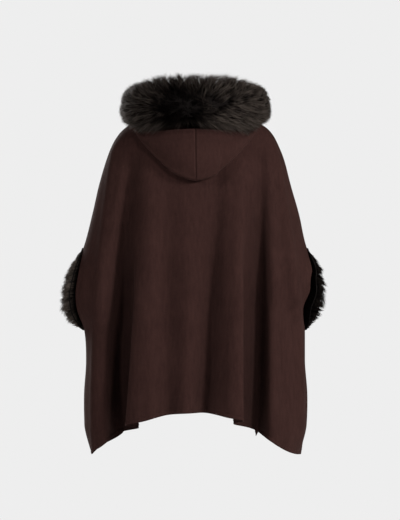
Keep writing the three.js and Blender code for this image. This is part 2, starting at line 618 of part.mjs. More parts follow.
// The trim of one cuff: a ring of pile on the edge of the opening between back and front.
function cuffTrim(side) {
  const sign = side === "right" ? 1 : -1;
  const stations = [];
  for (let i = 0; i < 2 * CUFF_STEPS; i += 1) {
    const turn = (Math.PI * i) / CUFF_STEPS;
    const drop = CUFF_MIDDLE - CUFF_HALF_HEIGHT * Math.cos(turn);
    const face = i <= CUFF_STEPS ? "back" : "front";
    stations.push({ drop, angle: sign * sideAngle(drop, face) });
  }
  const edge = stations.map(({ angle, drop }) => skin(angle, drop));
  const sections = edge.map((point, i) => {
    const { angle, drop } = stations[i];
    const normal = skinNormal(angle, drop);
    const next = edge[(i + 1) % edge.length];
    const before = edge[(i - 1 + edge.length) % edge.length];
    const along = next.clone().sub(before).normalize();
    const inward = normal.clone().cross(along).multiplyScalar(sign).normalize();
    const way = ((drop - CUFF_MIDDLE + CUFF_HALF_HEIGHT) / (2 * CUFF_HALF_HEIGHT)) ** CUFF_SAG[side];
    const out = mix(CUFF_PILE_OUT.ends, CUFF_PILE_OUT[side], Math.max(0, Math.sin(Math.PI * way)));
    const wide = (out + CUFF_PILE_INSIDE) / 2;
    const middle = (out - CUFF_PILE_INSIDE) / 2;
    const corner = (into, off) => point.clone().addScaledVector(inward, SEAM + into).addScaledVector(normal, off);
    const round = Array.from({ length: CUFF_CORNERS + 1 }, (_, k) => {
      const bow = (Math.PI * k) / CUFF_CORNERS;
      return corner(CUFF_LEAN + (CUFF_PILE - CUFF_LEAN) * Math.sin(bow), middle + wide * Math.cos(bow));
    });
    const backed = [0.4, 0.75].map((share) => corner(-CUFF_OVERHANG, share * out));
    return [...round, corner(0, -CLOTH), corner(0, 0), ...backed];
  });
  return roll(side === "right" ? sections : sections.reverse(), true);
}

const wool = new THREE.MeshStandardMaterial({ color: 0x382724, roughness: 0.95, metalness: 0 });
const pile = new THREE.MeshStandardMaterial({ color: 0x1e1a18, roughness: 0.8, metalness: 0 });

function piece(name, geometry, material) {
  const mesh = new THREE.Mesh(geometry, material);
  mesh.name = name;
  return mesh;
}

const body = new THREE.Group();
body.add(piece("back_panel", backPanel(), wool));
body.add(piece("front_left", frontPanel("left"), wool));
body.add(piece("front_right", frontPanel("right"), wool));

const hood = new THREE.Group();
const halves = hoodHalves();
hood.add(piece("hood_left", halves.left, wool));
hood.add(piece("hood_right", halves.right, wool));
hood.add(piece("hood_trim", hoodTrim(), pile));

const cuffs = new THREE.Group();
cuffs.add(piece("cuff_trim_left", cuffTrim("left"), pile));
cuffs.add(piece("cuff_trim_right", cuffTrim("right"), pile));

const poncho = new THREE.Group();
poncho.add(body, hood, cuffs);

export default poncho;
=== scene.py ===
"""Hooded poncho in dark brown felted wool, with a long-pile trim round the hood edge and both cuffs.

Metres, +Z up, +Y the way the wearer faces, +X to the wearer's right. The camera stands behind the wearer.
The origin is the middle of the neck base. The cloth follows the frame's forms, with finer creases, turned
edges and seams. The deepest folds of the back lie up to 15 mm beside the frame's and up to 10 mm deeper.
Each trim is a backing strip with hairs on it.
"""

import math

import bmesh
import bpy
import numpy as np
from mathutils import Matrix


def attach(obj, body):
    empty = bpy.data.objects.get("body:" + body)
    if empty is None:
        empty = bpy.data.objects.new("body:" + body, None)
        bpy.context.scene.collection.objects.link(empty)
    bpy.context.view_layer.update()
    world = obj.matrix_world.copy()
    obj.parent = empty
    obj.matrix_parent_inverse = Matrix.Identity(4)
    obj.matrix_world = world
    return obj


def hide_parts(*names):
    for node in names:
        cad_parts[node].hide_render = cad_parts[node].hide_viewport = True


# Driving dimensions
CLOTH = 0.0024  # double-faced wool, one wall
SEAM = 0.0003  # gap between two pieces where they are sewn together
TRIM_SEAM = 0.0012  # a little more under the hood trim
BACKING = 0.002  # the cloth that the hairs of the trims stand on
CUFF_MIDDLE = 0.448  # drop from the neck base to the middle of each cuff opening
CUFF_HALF_HEIGHT = 0.105
CUFF_HALF_GAP = 0.062
CUFF_PROBE = math.pi / 10  # turn to each side, between which the direction of the edge is read
CUFF_PILE = 0.033  # how far the pile reaches into the opening
CUFF_PILE_INSIDE = 0.014
CUFF_LEAN = 0.002  # how far it stands into the opening at its base
CUFF_SAG = {"left": 1.5, "right": 1.7}  # above 1, the pile is longest below the middle
CUFF_FULLNESS = 0.7  # below 1, the pile keeps its length towards the ends of the opening
CUFF_PILE_OUT = {"ends": 0.004, "left": 0.042, "right": 0.052}
HOOD_TIP = -0.181  # height of the hood's bottom in the middle, and how much higher it is at the half width
HOOD_RISE = 0.128
HOOD_HALF_WIDTH = 0.153
HOOD_CURVE = 1.75
HOOD_GAP = 0.005  # between the hood's inner layer and the back
HOOD_FRONT_DROP = 0.030
STAND_RISE = {"back": 0.026, "front": 0.014}
STAND_LEAN = {"back": 0.007, "front": 0.005}
TURN_OVER = 0.005
FOLD_RADIUS = {"deep": 0.011, "shallow": 0.0045}
FULLNESS = 0.12
INSIDE_LAYER_LIFT = 0.002
EDGE_HANG = 0.012  # how far the hood hangs straight from its trim
MOST_HANG = 0.3  # the same at most, as a share of the way from the trim to the bottom fold
HEM_DROP = 0.860
NECK_EDGE = -0.006

# Turned edges and seams
TURNED = 0.009  # width of the turned edge at hem and fronts
TURNED_FADE = (TURNED - 0.001, TURNED + 0.003)
TURNED_RISE = 0.0007
STITCH_DEPTH = 0.0012
STITCH_WIDTH = 0.0018

# The camera and the floor
FRAME_HEIGHT = 1.300  # what the picture takes in from top to bottom, at the side seams
CAMERA_AIM = (0.01125, -0.375)  # x and z of the middle of the picture
CAMERA_DISTANCE = 24.0
SENSOR = 0.036
FLOOR_DROP = -1.300
FLOOR_RADIUS = 3.0
PALE = (0.855, 0.855, 0.855, 1)
FLOOR_PAINT = (0.82, 0.82, 0.82, 1)
AMBIENT = 0.03
LIGHT_AIM = (0, 0, -0.4)

# The colours: for each ramp, where its dark and its light colour stand
WOOL = ((0.28, (0.0102, 0.0045, 0.0039, 1)), (0.74, (0.0246, 0.0113, 0.0096, 1)))
WOOL_SHEEN = (0.62, 0.40, 0.34, 1)
FUR = ((0.05, (0.0018, 0.0013, 0.0012, 1)), (0.8, (0.0580, 0.0450, 0.0365, 1)))
STRIP = ((0.0, (0.0016, 0.0012, 0.0011, 1)), (1.0, (0.0045, 0.0034, 0.0030, 1)))
FOLD_SHADE = 0.55  # how much the painted shade darkens the colour in the deepest fold
STREAKS = (170.0, 170.0, 26.0)  # how fine the streaks of the nap are along x, y and z
FUR_GLOSS = 0.16


def table_of(columns, rows):
    """Rows of a table with named columns."""
    return [dict(zip(columns, row)) for row in rows]


LIGHTS = table_of(
    ("name", "place", "size", "power"),
    [
        ("key light", (3.08, -2.16, 0.97), 0.6, 220),
        ("near light", (1.88, -3.26, 0.97), 0.6, 110),
        ("fill light", (-3.08, -2.16, 0.97), 0.6, 92),
        ("front light", (-1.8, 3.4, 1.4), 2.2, 300),
    ],
)

# The shape as worn, a row for each level: heights at the side, centre back and centre front, half widths
# to the left and right, depths behind and in front of the side seams, how square the section is, and how
# far towards centre back its line keeps to the height of the left and right side.
SECTION_COLUMNS = (
    "back", "front", "left", "right", "deep_back", "deep_front",
    "square", "curl_left", "curl_right",
)
SECTIONS = table_of(
    ("level", "side", *SECTION_COLUMNS),
    [
        ("neck edge", 0.006, 0.010, -0.060, 0.072, 0.072, 0.062, 0.062, 2.0, 2.0, 2.0),
        ("neck seam", 0.000, 0.003, -0.068, 0.073, 0.073, 0.063, 0.064, 2.0, 2.0, 2.0),
        ("neck slope", -0.014, -0.026, -0.094, 0.112, 0.112, 0.076, 0.084, 2.1, 2.0, 2.0),
        ("shoulder", -0.028, -0.060, -0.124, 0.145, 0.146, 0.089, 0.104, 2.2, 2.0, 2.0),
        ("shoulder tip", -0.042, -0.096, -0.156, 0.171, 0.173, 0.101, 0.120, 2.25, 2.0, 2.0),
        ("arm top", -0.060, -0.130, -0.186, 0.190, 0.191, 0.110, 0.130, 2.3, 2.0, 2.0),
        ("armpit", -0.085, -0.166, -0.218, 0.206, 0.205, 0.117, 0.137, 2.3, 2.0, 2.0),
        ("chest", -0.125, -0.206, -0.252, 0.222, 0.221, 0.123, 0.143, 2.35, 2.0, 2.0),
        ("elbow rise", -0.190, -0.262, -0.305, 0.241, 0.238, 0.129, 0.148, 2.4, 2.0, 2.0),
        ("elbow", -0.260, -0.318, -0.358, 0.257, 0.258, 0.134, 0.152, 2.4, 2.0, 2.0),
        ("cuff top", -0.343, -0.381, -0.420, 0.279, 0.277, 0.139, 0.155, 2.4, 2.0, 2.0),
        ("cuff upper", -0.400, -0.430, -0.464, 0.304, 0.304, 0.142, 0.156, 2.4, 2.0, 2.0),
        ("cuff middle", -0.448, -0.471, -0.502, 0.316, 0.302, 0.145, 0.157, 2.4, 2.0, 2.1),
        ("cuff lower", -0.495, -0.510, -0.536, 0.308, 0.279, 0.148, 0.158, 2.4, 2.1, 2.3),
        ("cuff foot", -0.553, -0.556, -0.574, 0.277, 0.273, 0.152, 0.159, 2.4, 2.1, 2.6),
        ("hip", -0.630, -0.615, -0.624, 0.273, 0.273, 0.157, 0.161, 2.4, 2.1, 3.0),
        ("thigh", -0.710, -0.672, -0.674, 0.278, 0.279, 0.162, 0.163, 2.4, 2.2, 3.4),
        ("hem rise", -0.790, -0.722, -0.718, 0.277, 0.277, 0.166, 0.164, 2.4, 2.2, 3.6),
        ("hem", -0.860, -0.756, -0.750, 0.259, 0.259, 0.168, 0.165, 2.4, 2.15, 3.7),
    ],
)

# The folds: x at chest, cuff and hem height, how far each stands out there, half its width at chest and
# hem, how far the cloth doubles back on itself at cuff and hem height, the step between the layers, and
# whether the fold goes straight back or forward, or square to the form.
FLAT = (0.0, 0.0)
NO_DEPTH = (0.0, 0.0, 0.0)
FOLDS = table_of(
    ("face", "x", "out", "width", "lap", "step", "straight"),
    [
        ("back", (-0.158, -0.190, -0.196), (-0.012, -0.042, -0.062), (0.019, 0.026), FLAT, FLAT, True),
        ("back", (-0.146, -0.162, -0.172), (0.0, -0.012, -0.020), (0.020, 0.028), FLAT, FLAT, True),
        ("back", (-0.140, -0.153, -0.159), NO_DEPTH, (0.016, 0.016), (0.007, 0.023), (0.007, 0.014), False),
        ("back", (-0.112, -0.112, -0.110), (0.003, 0.009, 0.012), (0.026, 0.030), FLAT, FLAT, True),
        ("back", (-0.062, -0.072, -0.070), (-0.001, -0.009, -0.014), (0.022, 0.024), FLAT, FLAT, True),
        ("back", (-0.020, -0.022, -0.024), (0.001, 0.006, 0.008), (0.022, 0.024), FLAT, FLAT, True),
        ("back", (0.057, 0.038, 0.021), (-0.009, -0.026, -0.034), (0.018, 0.024), FLAT, FLAT, True),
        ("back", (0.112, 0.096, 0.086), (0.004, 0.010, 0.012), (0.018, 0.022), FLAT, FLAT, True),
        ("back", (0.128, 0.115, 0.108), NO_DEPTH, (0.015, 0.016), (0.012, 0.020), (0.009, 0.013), False),
        ("back", (0.164, 0.157, 0.152), (-0.011, -0.042, -0.060), (0.020, 0.023), FLAT, FLAT, True),
        ("back", (0.199, 0.247, 0.262), (0.007, 0.012, 0.003), (0.014, 0.020), FLAT, FLAT, False),
        ("back", (-0.205, -0.240, -0.250), (0.004, 0.008, 0.008), (0.016, 0.022), FLAT, FLAT, False),
        ("front", (0.150, 0.190, 0.206), (-0.008, -0.022, -0.034), (0.028, 0.034), FLAT, FLAT, False),
        ("front", (0.105, 0.150, 0.176), (0.004, 0.009, 0.012), (0.026, 0.028), FLAT, FLAT, False),
        ("front", (-0.146, -0.184, -0.204), (-0.008, -0.024, -0.032), (0.028, 0.034), FLAT, FLAT, False),
        ("front", (-0.100, -0.146, -0.172), (0.004, 0.009, 0.012), (0.026, 0.028), FLAT, FLAT, False),
    ],
)
LAPS = {"left": FOLDS[2], "right": FOLDS[8]}
FOLD_LEVELS = (0.100, 0.450, HEM_DROP)
FOLD_START = 0.034  # drop at which the folds begin
FOLD_LIFT = 0.05  # how far the hem rises where a fold goes in, as a share of its depth
LAP_START = {"left": 0.190, "right": 0.090}
STEP_WIDTH = 1.4  # how wide the step between the layers is, in widths of its fold
FULLY_SHADED_FOLD = 0.060  # a fold as deep as this gets the darkest painted shade
UNDER_LAP_SHADE = 0.32  # the painted shade where the cloth lies under a lap, and where that begins and fades
LAP_SHADE_START = (0.0, 0.5)
LAP_SHADE_FADE = (1.2, 3.2)

# Soft creases between the folds, each from one drop to another: x at its ends, how far it stands out in
# its middle, and half its width.
CREASES = table_of(
    ("face", "drops", "x", "out", "width"),
    [
        ("back", (0.20, 0.52), (-0.085, -0.093), -0.0022, 0.012),
        ("back", (0.40, 0.86), (-0.040, -0.046), -0.0028, 0.013),
        ("back", (0.24, 0.70), (0.012, 0.004), -0.0024, 0.014),
        ("back", (0.52, 0.88), (0.004, -0.002), 0.0030, 0.012),
        ("back", (0.30, 0.66), (0.078, 0.068), 0.0022, 0.010),
        ("back", (0.12, 0.36), (0.150, 0.146), -0.0026, 0.010),
        ("back", (0.10, 0.33), (-0.182, -0.214), 0.0026, 0.011),
        ("back", (0.28, 0.60), (0.190, 0.205), 0.0034, 0.010),
        ("back", (0.50, 0.86), (0.212, 0.222), -0.0036, 0.011),
        ("back", (0.46, 0.86), (-0.232, -0.228), -0.0030, 0.012),
        ("front", (0.16, 0.56), (0.070, 0.094), -0.0026, 0.014),
        ("front", (0.44, 0.88), (0.128, 0.140), -0.0030, 0.013),
        ("front", (0.20, 0.50), (0.205, 0.236), -0.0028, 0.012),
        ("front", (0.14, 0.48), (-0.066, -0.090), -0.0024, 0.013),
        ("front", (0.38, 0.84), (-0.120, -0.136), -0.0032, 0.014),
        ("front", (0.52, 0.86), (-0.234, -0.240), -0.0030, 0.012),
    ],
)

FRONT_EDGES = {
    "left": {"neck": 0.014, "hem": 0.150, "corner_drop": 0.008},
    "right": {"neck": 0.014, "hem": 0.151, "corner_drop": 0.041},
}
CORNER = {"width": 0.014, "start": 0.560}  # how wide the low corner of a front is, and where it starts
FRONT_BOW = 0.4  # 0 for straight front edges, 1 for the most curved

# The hood trim: the angle of the hood column it is sewn to, the distance and height of the roll's middle,
# its half height and half thickness, and how far its underside clears the shoulders.
TRIM_COLUMNS = ("reach", "height", "tall", "thick", "clear")
HOOD_TRIM = table_of(
    ("angle", *TRIM_COLUMNS),
    [
        (0, 0.140, 0.021, 0.069, 0.046, 0.022),
        (20, 0.149, 0.016, 0.068, 0.046, 0.022),
        (40, 0.162, 0.008, 0.060, 0.045, 0.022),
        (56, 0.158, 0.012, 0.052, 0.043, 0.022),
        (72, 0.152, 0.009, 0.048, 0.041, 0.022),
        (90, 0.148, 0.006, 0.047, 0.040, 0.021),
        (115, 0.142, -0.004, 0.043, 0.037, 0.021),
        (140, 0.133, -0.026, 0.041, 0.035, 0.021),
        (169, 0.126, -0.060, 0.039, 0.034, 0.021),
    ],
)
TRIM_LEVEL = 0.040  # drop of the line of the body that gives the trim its directions
TRIM_LAST = 168.8  # angle at which the hood ends and the trim begins to round off
TRIM_END = 176.0
TRIM_TIPS = ((0.0, 0.5, 0.85, 1.0), (1.0, 0.86, 0.55, 0.2))  # ways from there to its end, and its size
SLOPE_PROBE = 1.03
MOST_LIFT = 1.7
TRIM_PROBE = 3.0
EDGE_STEP = 2 * math.pi / 14
STILL_ANGLE = 60.0  # of the column that stays still, between the laps and the side
FRONT_SIDE_COLUMNS = 5
FRONT_COLUMNS = 14
LAP_HOME = {"left": -30.0, "right": 21.0}  # the column that follows each lap
LAP_REACH = 8.0  # how far beside it others follow too
STAND_TURN = (20, 120)  # the angles between which the stand goes from its back to its front size
HOOD_FRONT_TURN = (84.0, 125.0)
DEEPEST_HOOD = 0.200
SHOULDER_HALVINGS = 24
HOOD_HALVINGS = 30
FULL_FOLD = 0.100

# The hairs of a trim, and the lumps that they gather in. There are two ways on a trim, along it and round
# it: how far a lump and a hair stray in each, and the most that a hair is pulled to its lump. A hair reaches
# to a share of the trim's size, which varies with its lump, and its levels are ways along it with the share
# of its reach that is done there. It bends more towards its tip.
HOOD_HAIRS = {
    "count": 19500,  # on each half
    "lumps": 1700,
    "seeds": {"right": 11, "left": 12},
    "lump_stray": (0.05, 0.12),
    "hair_stray": (0.03, 0.08),
    "most_pull": (0.12, 0.4),
    "clumping": 1.0,
    "reach": (0.88, 1.04),
    "lump_reach": (-0.08, 0.10),
    "levels": ((0.0, 0.0), (0.5, 0.62), (1.0, 1.0)),
    "bend": 1.3,
    "width": (0.7, 1.3),
    "tone": {"middle": 0.5, "hair": 0.22, "lump": 0.10, "least": 0.05},
}
CUFF_HAIRS = {
    "count": 9500,
    "lumps": 420,
    "seeds": {"right": 21, "left": 22},
    "lump_stray": (0.05, 0.10),
    "hair_stray": (0.03, 0.07),
    "most_pull": (0.15, 0.4),
    "clumping": 0.9,
    "reach": (0.72, 1.00),
    "lump_reach": (-0.10, 0.12),
    "levels": ((0.0, 0.0), (0.5, 0.6), (1.0, 1.0)),
    "bend": 1.4,
    "width": (0.8, 1.5),
    "tone": {"middle": 0.5, "hair": 0.18, "lump": 0.1, "least": 0},
}
HAIR_WIDTH = 0.0013
HAIR_SIDES = 3
HAIR_RINGS = (1.0, 0.7)  # a hair's width at its root and half way
HAIR_SHADES = (0.0, 0.6, 1.0)  # the attribute "along" at its root, half way and at its tip
PARTING = np.array((-0.020, -0.160, -0.040))  # the hairs of the hood trim fan out from here
BACKING_SIZE = 0.60  # the backing's size as a share of the trim over its pile
ROOT_DEPTH = 0.02  # how far inside the backing the roots are, as the same share
# How far the hairs of the hood trim lie over in the fan, and how that varies by lump and by hair
FAN = {"length": 0.042, "lump": (0.75, 1.15), "hair": (0.8, 1.15)}
FAN_PROBE = 0.01
NARROWEST = 0.02  # the least distance for a radian that a lean is divided by
LUMP_MARGIN = 4  # how many degrees past the middle seam the lumps begin
PILE_SAG = 0.012  # how far the lower hairs hang
SAG_LEVELS = (-0.010, 0.045)
# Painted shade: the pile is painted darkest beside its parting, standing in for the shade seen between the
# hairs end on there.
PAINTED_SHADE_CORE = {"place": np.array((-0.040, -0.180, -0.004)), "reach": (0.030, 0.085), "tone": 0.02}
# Painted light and shade on the cuff piles: the left one is painted lighter as if lit, the right one darker
# as if in shade.
CUFF_PAINTED_LIGHT_AND_SHADE = {"left": 1.55, "right": 0.22}
CUFF_EDGE = {"size": 0.03, "bow": 1.3}  # the first hairs stand on the cloth's edge itself
CUFF_BACKING_SIZE = 0.36
CUFF_SWEEP = 0.35  # how far the hairs of the cuffs turn from square to the backing to straight outwards
CUFF_FALL = 0.10
AT_ONCE = 2000  # hairs whose lumps are looked for together

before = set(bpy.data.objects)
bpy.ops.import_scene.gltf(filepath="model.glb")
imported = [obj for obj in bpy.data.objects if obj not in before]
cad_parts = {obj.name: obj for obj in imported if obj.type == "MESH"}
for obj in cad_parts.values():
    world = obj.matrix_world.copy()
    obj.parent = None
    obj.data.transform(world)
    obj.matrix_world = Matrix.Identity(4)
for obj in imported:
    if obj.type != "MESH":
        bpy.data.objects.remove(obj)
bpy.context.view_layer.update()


def smooth(value, low, high):
    t = np.clip((value - low) / (high - low), 0, 1)
    return t * t * (3 - 2 * t)


def mix(low, high, share):
    return low + (high - low) * share


def unit(vectors):
    return vectors / np.maximum(np.linalg.norm(vectors, axis=-1, keepdims=True), 1e-12)


def column_curve(rows, key, column):
    """A smooth curve through a column of a table, read at any value of its key column."""
    keys = np.array([row[key] for row in rows], float)
    values = np.array([row[column] for row in rows], float)
    before = np.maximum(np.arange(len(rows)) - 1, 0)
    after = np.minimum(np.arange(len(rows)) + 1, len(rows) - 1)
    slopes = (values[after] - values[before]) / (keys[after] - keys[before])
    steps = np.diff(keys)
    rises = np.diff(values) / steps

    def limited(slope, rise):
        return np.where(np.abs(slope) > 3 * np.abs(rise), 3 * rise, slope)

    def read(at):
        i = np.searchsorted(keys[1:-1], at, side="left")
        t = np.clip((at - keys[i]) / steps[i], 0, 1)
        start = limited(slopes[i], rises[i])
        end = limited(slopes[i + 1], rises[i])
        along = values[i] * (1 + 2 * t) * (1 - t) ** 2 + values[i + 1] * t * t * (3 - 2 * t)
        return along + steps[i] * (start * t * (1 - t) ** 2 - end * t * t * (1 - t))

    return read


for row in SECTIONS:
    row["drop"] = -row["side"]
section = {column: column_curve(SECTIONS, "drop", column) for column in SECTION_COLUMNS}
trim = {column: column_curve(HOOD_TRIM, "angle", column) for column in TRIM_COLUMNS}


def fold_value(three, drop):
    """Three table values, at chest, cuff and hem height, joined by a parabola."""
    a, b, c = FOLD_LEVELS
    d = np.maximum(drop, a)
    return (
        three[0] * (d - b) * (d - c) / ((a - b) * (a - c))
        + three[1] * (d - a) * (d - c) / ((b - a) * (b - c))
        + three[2] * (d - a) * (d - b) / ((c - a) * (c - b))
    )


def form(angle, drop):
    """The plain form with no folds, at an angle from centre back and a drop: points, and the way out."""
    angle, drop = np.broadcast_arrays(np.asarray(angle, float), np.asarray(drop, float))
    sine, cosine = np.sin(angle), np.cos(angle)
    right, back = sine >= 0, cosine >= 0
    half = np.where(right, section["right"](drop), section["left"](drop))
    deep = np.where(back, section["deep_back"](drop), section["deep_front"](drop))
    square = section["square"](drop)
    across = np.abs(sine) ** (2 / square)
    along = np.abs(cosine) ** (2 / square)
    side = np.where(right, 1.0, -1.0)
    face = np.where(back, -1.0, 1.0)
    curl = np.where(back, np.where(right, section["curl_right"](drop), section["curl_left"](drop)), 2.0)
    middle = np.where(back, section["back"](drop), section["front"](drop))
    height = mix(-drop, middle, np.abs(cosine) ** curl)
    outward = np.stack([side * across ** (square - 1) / half, face * along ** (square - 1) / deep], axis=-1)
    return np.stack([side * half * across, face * deep * along, height], axis=-1), unit(outward)


def angle_at(x, drop, face):
    """The angle at which the plain form has a given x, on the back or the front."""
    half = np.where(x >= 0, section["right"](drop), section["left"](drop))
    lean = np.arcsin(np.minimum(1, np.abs(x) / half) ** (section["square"](drop) / 2))
    return np.sign(x) * (lean if face == "back" else np.pi - lean)


def swing(t):
    """A rise and a fall beside each other, each 1 at most."""
    return math.sqrt(2) * math.exp(0.5) * t * np.exp(-t * t)


def distance_from(here, angle, centre, drop):
    """How far points of the cloth are from a line down it, seen from above, with a sign."""
    middle = form(centre, drop)[0]
    return np.linalg.norm(here - middle[..., :2], axis=-1) * np.sign(angle - centre)


def skin_and_painted_shade(angle, drop):
    """The outer face of the cloth with its folds and creases, and the painted shade at each point: darker
    deep in a fold and where the cloth lies under a lap.
    """
    angle, drop = np.broadcast_arrays(np.asarray(angle, float), np.asarray(drop, float))
    painted_shade = np.zeros(drop.shape)
    points, outward = form(angle, drop)
    here = points[..., :2].copy()
    sideways = np.stack([-outward[..., 1], outward[..., 0]], axis=-1)
    ahead = np.stack([np.zeros(drop.shape), np.where(np.cos(angle) >= 0, -1.0, 1.0)], axis=-1)
    moved = np.zeros(here.shape)
    lift = np.zeros(drop.shape)
    grown = smooth(drop, FOLD_START, FOLD_LEVELS[0])
    for fold in FOLDS:
        x = fold_value(fold["x"], drop)
        centre = angle_at(x, np.maximum(drop, FOLD_LEVELS[0]), fold["face"])
        away = distance_from(here, angle, centre, drop)
        width = mix(fold["width"][0], fold["width"][1], smooth(drop, FOLD_LEVELS[0], HEM_DROP))
        out = grown * fold_value(fold["out"], drop) * np.exp(-((away / width) ** 2))
        moved += (ahead if fold["straight"] else outward) * out[..., None]
        # Painted shade: darker the deeper the fold goes in.
        painted_shade += np.maximum(0, -out) / FULLY_SHADED_FOLD
        lift -= FOLD_LIFT * out * smooth(drop, FOLD_LEVELS[1], HEM_DROP)
        start = np.where(x < 0, LAP_START["left"], LAP_START["right"])
        lapped = smooth(drop, start, FOLD_LEVELS[1])
        lap = lapped * fold_value((0, *fold["lap"]), drop) * swing(away / width)
        step = lapped * fold_value((0, *fold["step"]), drop) * swing(away / (STEP_WIDTH * width))
        # Painted shade on the cloth that lies under a lap.
        if fold["lap"] is not FLAT:
            behind = np.sign(x) * away / width
            painted_shade += UNDER_LAP_SHADE * lapped * smooth(behind, *LAP_SHADE_START) * (1 - smooth(behind, *LAP_SHADE_FADE))
        moved -= sideways * lap[..., None] + outward * (np.sign(x) * step)[..., None]
    for crease in CREASES:
        top, bottom = crease["drops"]
        way = (drop - top) / (bottom - top)
        x = mix(crease["x"][0], crease["x"][1], np.clip(way, 0, 1))
        away = distance_from(here, angle, angle_at(x, drop, crease["face"]), drop)
        deep = crease["out"] * np.sin(np.pi * np.clip(way, 0, 1)) ** 2
        moved += outward * (deep * np.exp(-((away / crease["width"]) ** 2)))[..., None]
    points[..., :2] += moved
    points[..., 2] += lift
    return points, np.clip(painted_shade, 0, 1)


def skin(angle, drop):
    """The outer face of the cloth."""
    return skin_and_painted_shade(angle, drop)[0]


SIDE_STEP = 0.004
DOWN_STEP = 0.0015


def skin_across(angle, drop):
    return skin(angle + SIDE_STEP, drop) - skin(angle - SIDE_STEP, drop)


def skin_normal(angle, drop):
    """The direction square to the cloth, pointing out."""
    above = skin(angle, np.maximum(drop - DOWN_STEP, NECK_EDGE))
    below = skin(angle, np.minimum(drop + DOWN_STEP, HEM_DROP))
    return unit(np.cross(below - above, skin_across(angle, drop)))


def shoulder_height(x, y):
    """Height of the plain form over a point seen from above, near the neck and shoulders."""
    low = np.full(np.shape(x), NECK_EDGE)
    high = np.full(np.shape(x), FOLD_LEVELS[1])
    for _ in range(SHOULDER_HALVINGS):
        drop = (low + high) / 2
        half = np.where(x >= 0, section["right"](drop), section["left"](drop))
        deep = np.where(y <= 0, section["deep_back"](drop), section["deep_front"](drop))
        n = section["square"](drop)
        inside = (np.abs(x) / half) ** n + (np.abs(y) / deep) ** n < 1
        high = np.where(inside, drop, high)
        low = np.where(inside, low, drop)
    half = np.where(x >= 0, section["right"](low), section["left"](low))
    lean = np.arcsin(np.minimum(1, np.abs(x) / half) ** (section["square"](low) / 2))
    angle = np.where(x >= 0, 1, -1) * np.where(y <= 0, lean, np.pi - lean)
    return form(angle, low)[0][..., 2]


def trim_direction(angle):
    """The level direction from the middle of the neck through a column of the hood."""
    points = form(np.radians(angle), TRIM_LEVEL)[0]
    points[..., 2] = 0
    return unit(points)


def trim_point(angle, turn, size):
    """A point of the hood trim. turn goes round its section, and is -pi/2 where the hood's edge is sewn."""
    angle, turn, size = np.broadcast_arrays(*(np.asarray(value, float) for value in (angle, turn, size)))
    degrees = np.abs(angle)
    outward = trim_direction(angle)
    reach = trim["reach"](degrees) + size * trim["thick"](degrees) * np.cos(turn)
    points = outward * reach[..., None]
    height = trim["height"](degrees) + size * trim["tall"](degrees) * np.sin(turn)
    x, y = points[..., 0], points[..., 1]
    below = shoulder_height(x, y)
    further = shoulder_height(x * SLOPE_PROBE, y * SLOPE_PROBE)
    slope = (further - below) / ((SLOPE_PROBE - 1) * np.hypot(x, y))
    lift = trim["clear"](degrees) * np.minimum(MOST_LIFT, np.hypot(1, slope))
    points[..., 2] = np.maximum(height, below + lift)
    return points


def tip_size(angle):
    """How the trim rounds off at its front ends."""
    way = (np.abs(angle) - TRIM_LAST) / (TRIM_END - TRIM_LAST)
    return np.interp(way, *TRIM_TIPS)


def cuff_gap(drop):
    """How far the cloth is pulled back from the side seam at a cuff opening."""
    t = np.clip((drop - CUFF_MIDDLE) / CUFF_HALF_HEIGHT, -1, 1)
    return CUFF_HALF_GAP * np.sqrt(1 - t * t)


def side_angle(drop, face):
    """The angle, from centre back, at which the back or a front ends at the side."""
    deep = section["deep_back" if face == "back" else "deep_front"](drop)
    lean = np.arcsin((cuff_gap(drop) / deep) ** (section["square"](drop) / 2))
    return np.pi / 2 + (-lean if face == "back" else lean)


def front_angle(drop, side):
    """The angle of a front edge."""
    edge = FRONT_EDGES[side]
    way = mix(np.maximum(drop, 0) / HEM_DROP, smooth(drop, 0, HEM_DROP), FRONT_BOW)
    x = mix(edge["neck"], edge["hem"], way)
    return np.pi - np.arcsin((x / section[side](drop)) ** (section["square"](drop) / 2))


def along_line(knots, values, at):
    """Reads a broken line through knots, whose values may differ from point to point."""
    result = values[0] + 0 * at
    for low, high, start, end in zip(knots, knots[1:], values, values[1:]):
        result = result + (end - start) * np.clip((at - low) / (high - low), 0, 1)
    return result


def stretches(start, *parts):
    """Values from start on, each part given as how far it goes and in how many steps."""
    values = [start]
    for end, count in parts:
        values.extend(np.linspace(values[-1], end, count + 1)[1:])
    return np.array(values)


ROWS = stretches(NECK_EDGE, (0.1, 26), (0.343, 44), (0.553, 40), (0.842, 50), (HEM_DROP, 9))
BACK_COLUMNS = stretches(-90.0, (-87, 6), (-38, 32), (-22, 30), (13, 24), (29, 30), (87, 38), (90, 6))
FRONT_GRID = stretches(0.0, (0.35, 6), (5, 26), (12.5, 34), (13, 6))


def placed_piece(name, mesh, material):
    """A smooth mesh as a piece in its place, riding on the frame's one body."""
    mesh.polygons.foreach_set("use_smooth", np.ones(len(mesh.polygons), bool))
    mesh.materials.append(material)
    piece = bpy.data.objects.new(name, mesh)
    bpy.context.scene.collection.objects.link(piece)
    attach(piece, "root")
    return piece


def new_piece(name, bm, material):
    """A piece from a mesh that is still being edited."""
    mesh = bpy.data.meshes.new(name)
    bm.to_mesh(mesh)
    bm.free()
    return placed_piece(name, mesh, material)


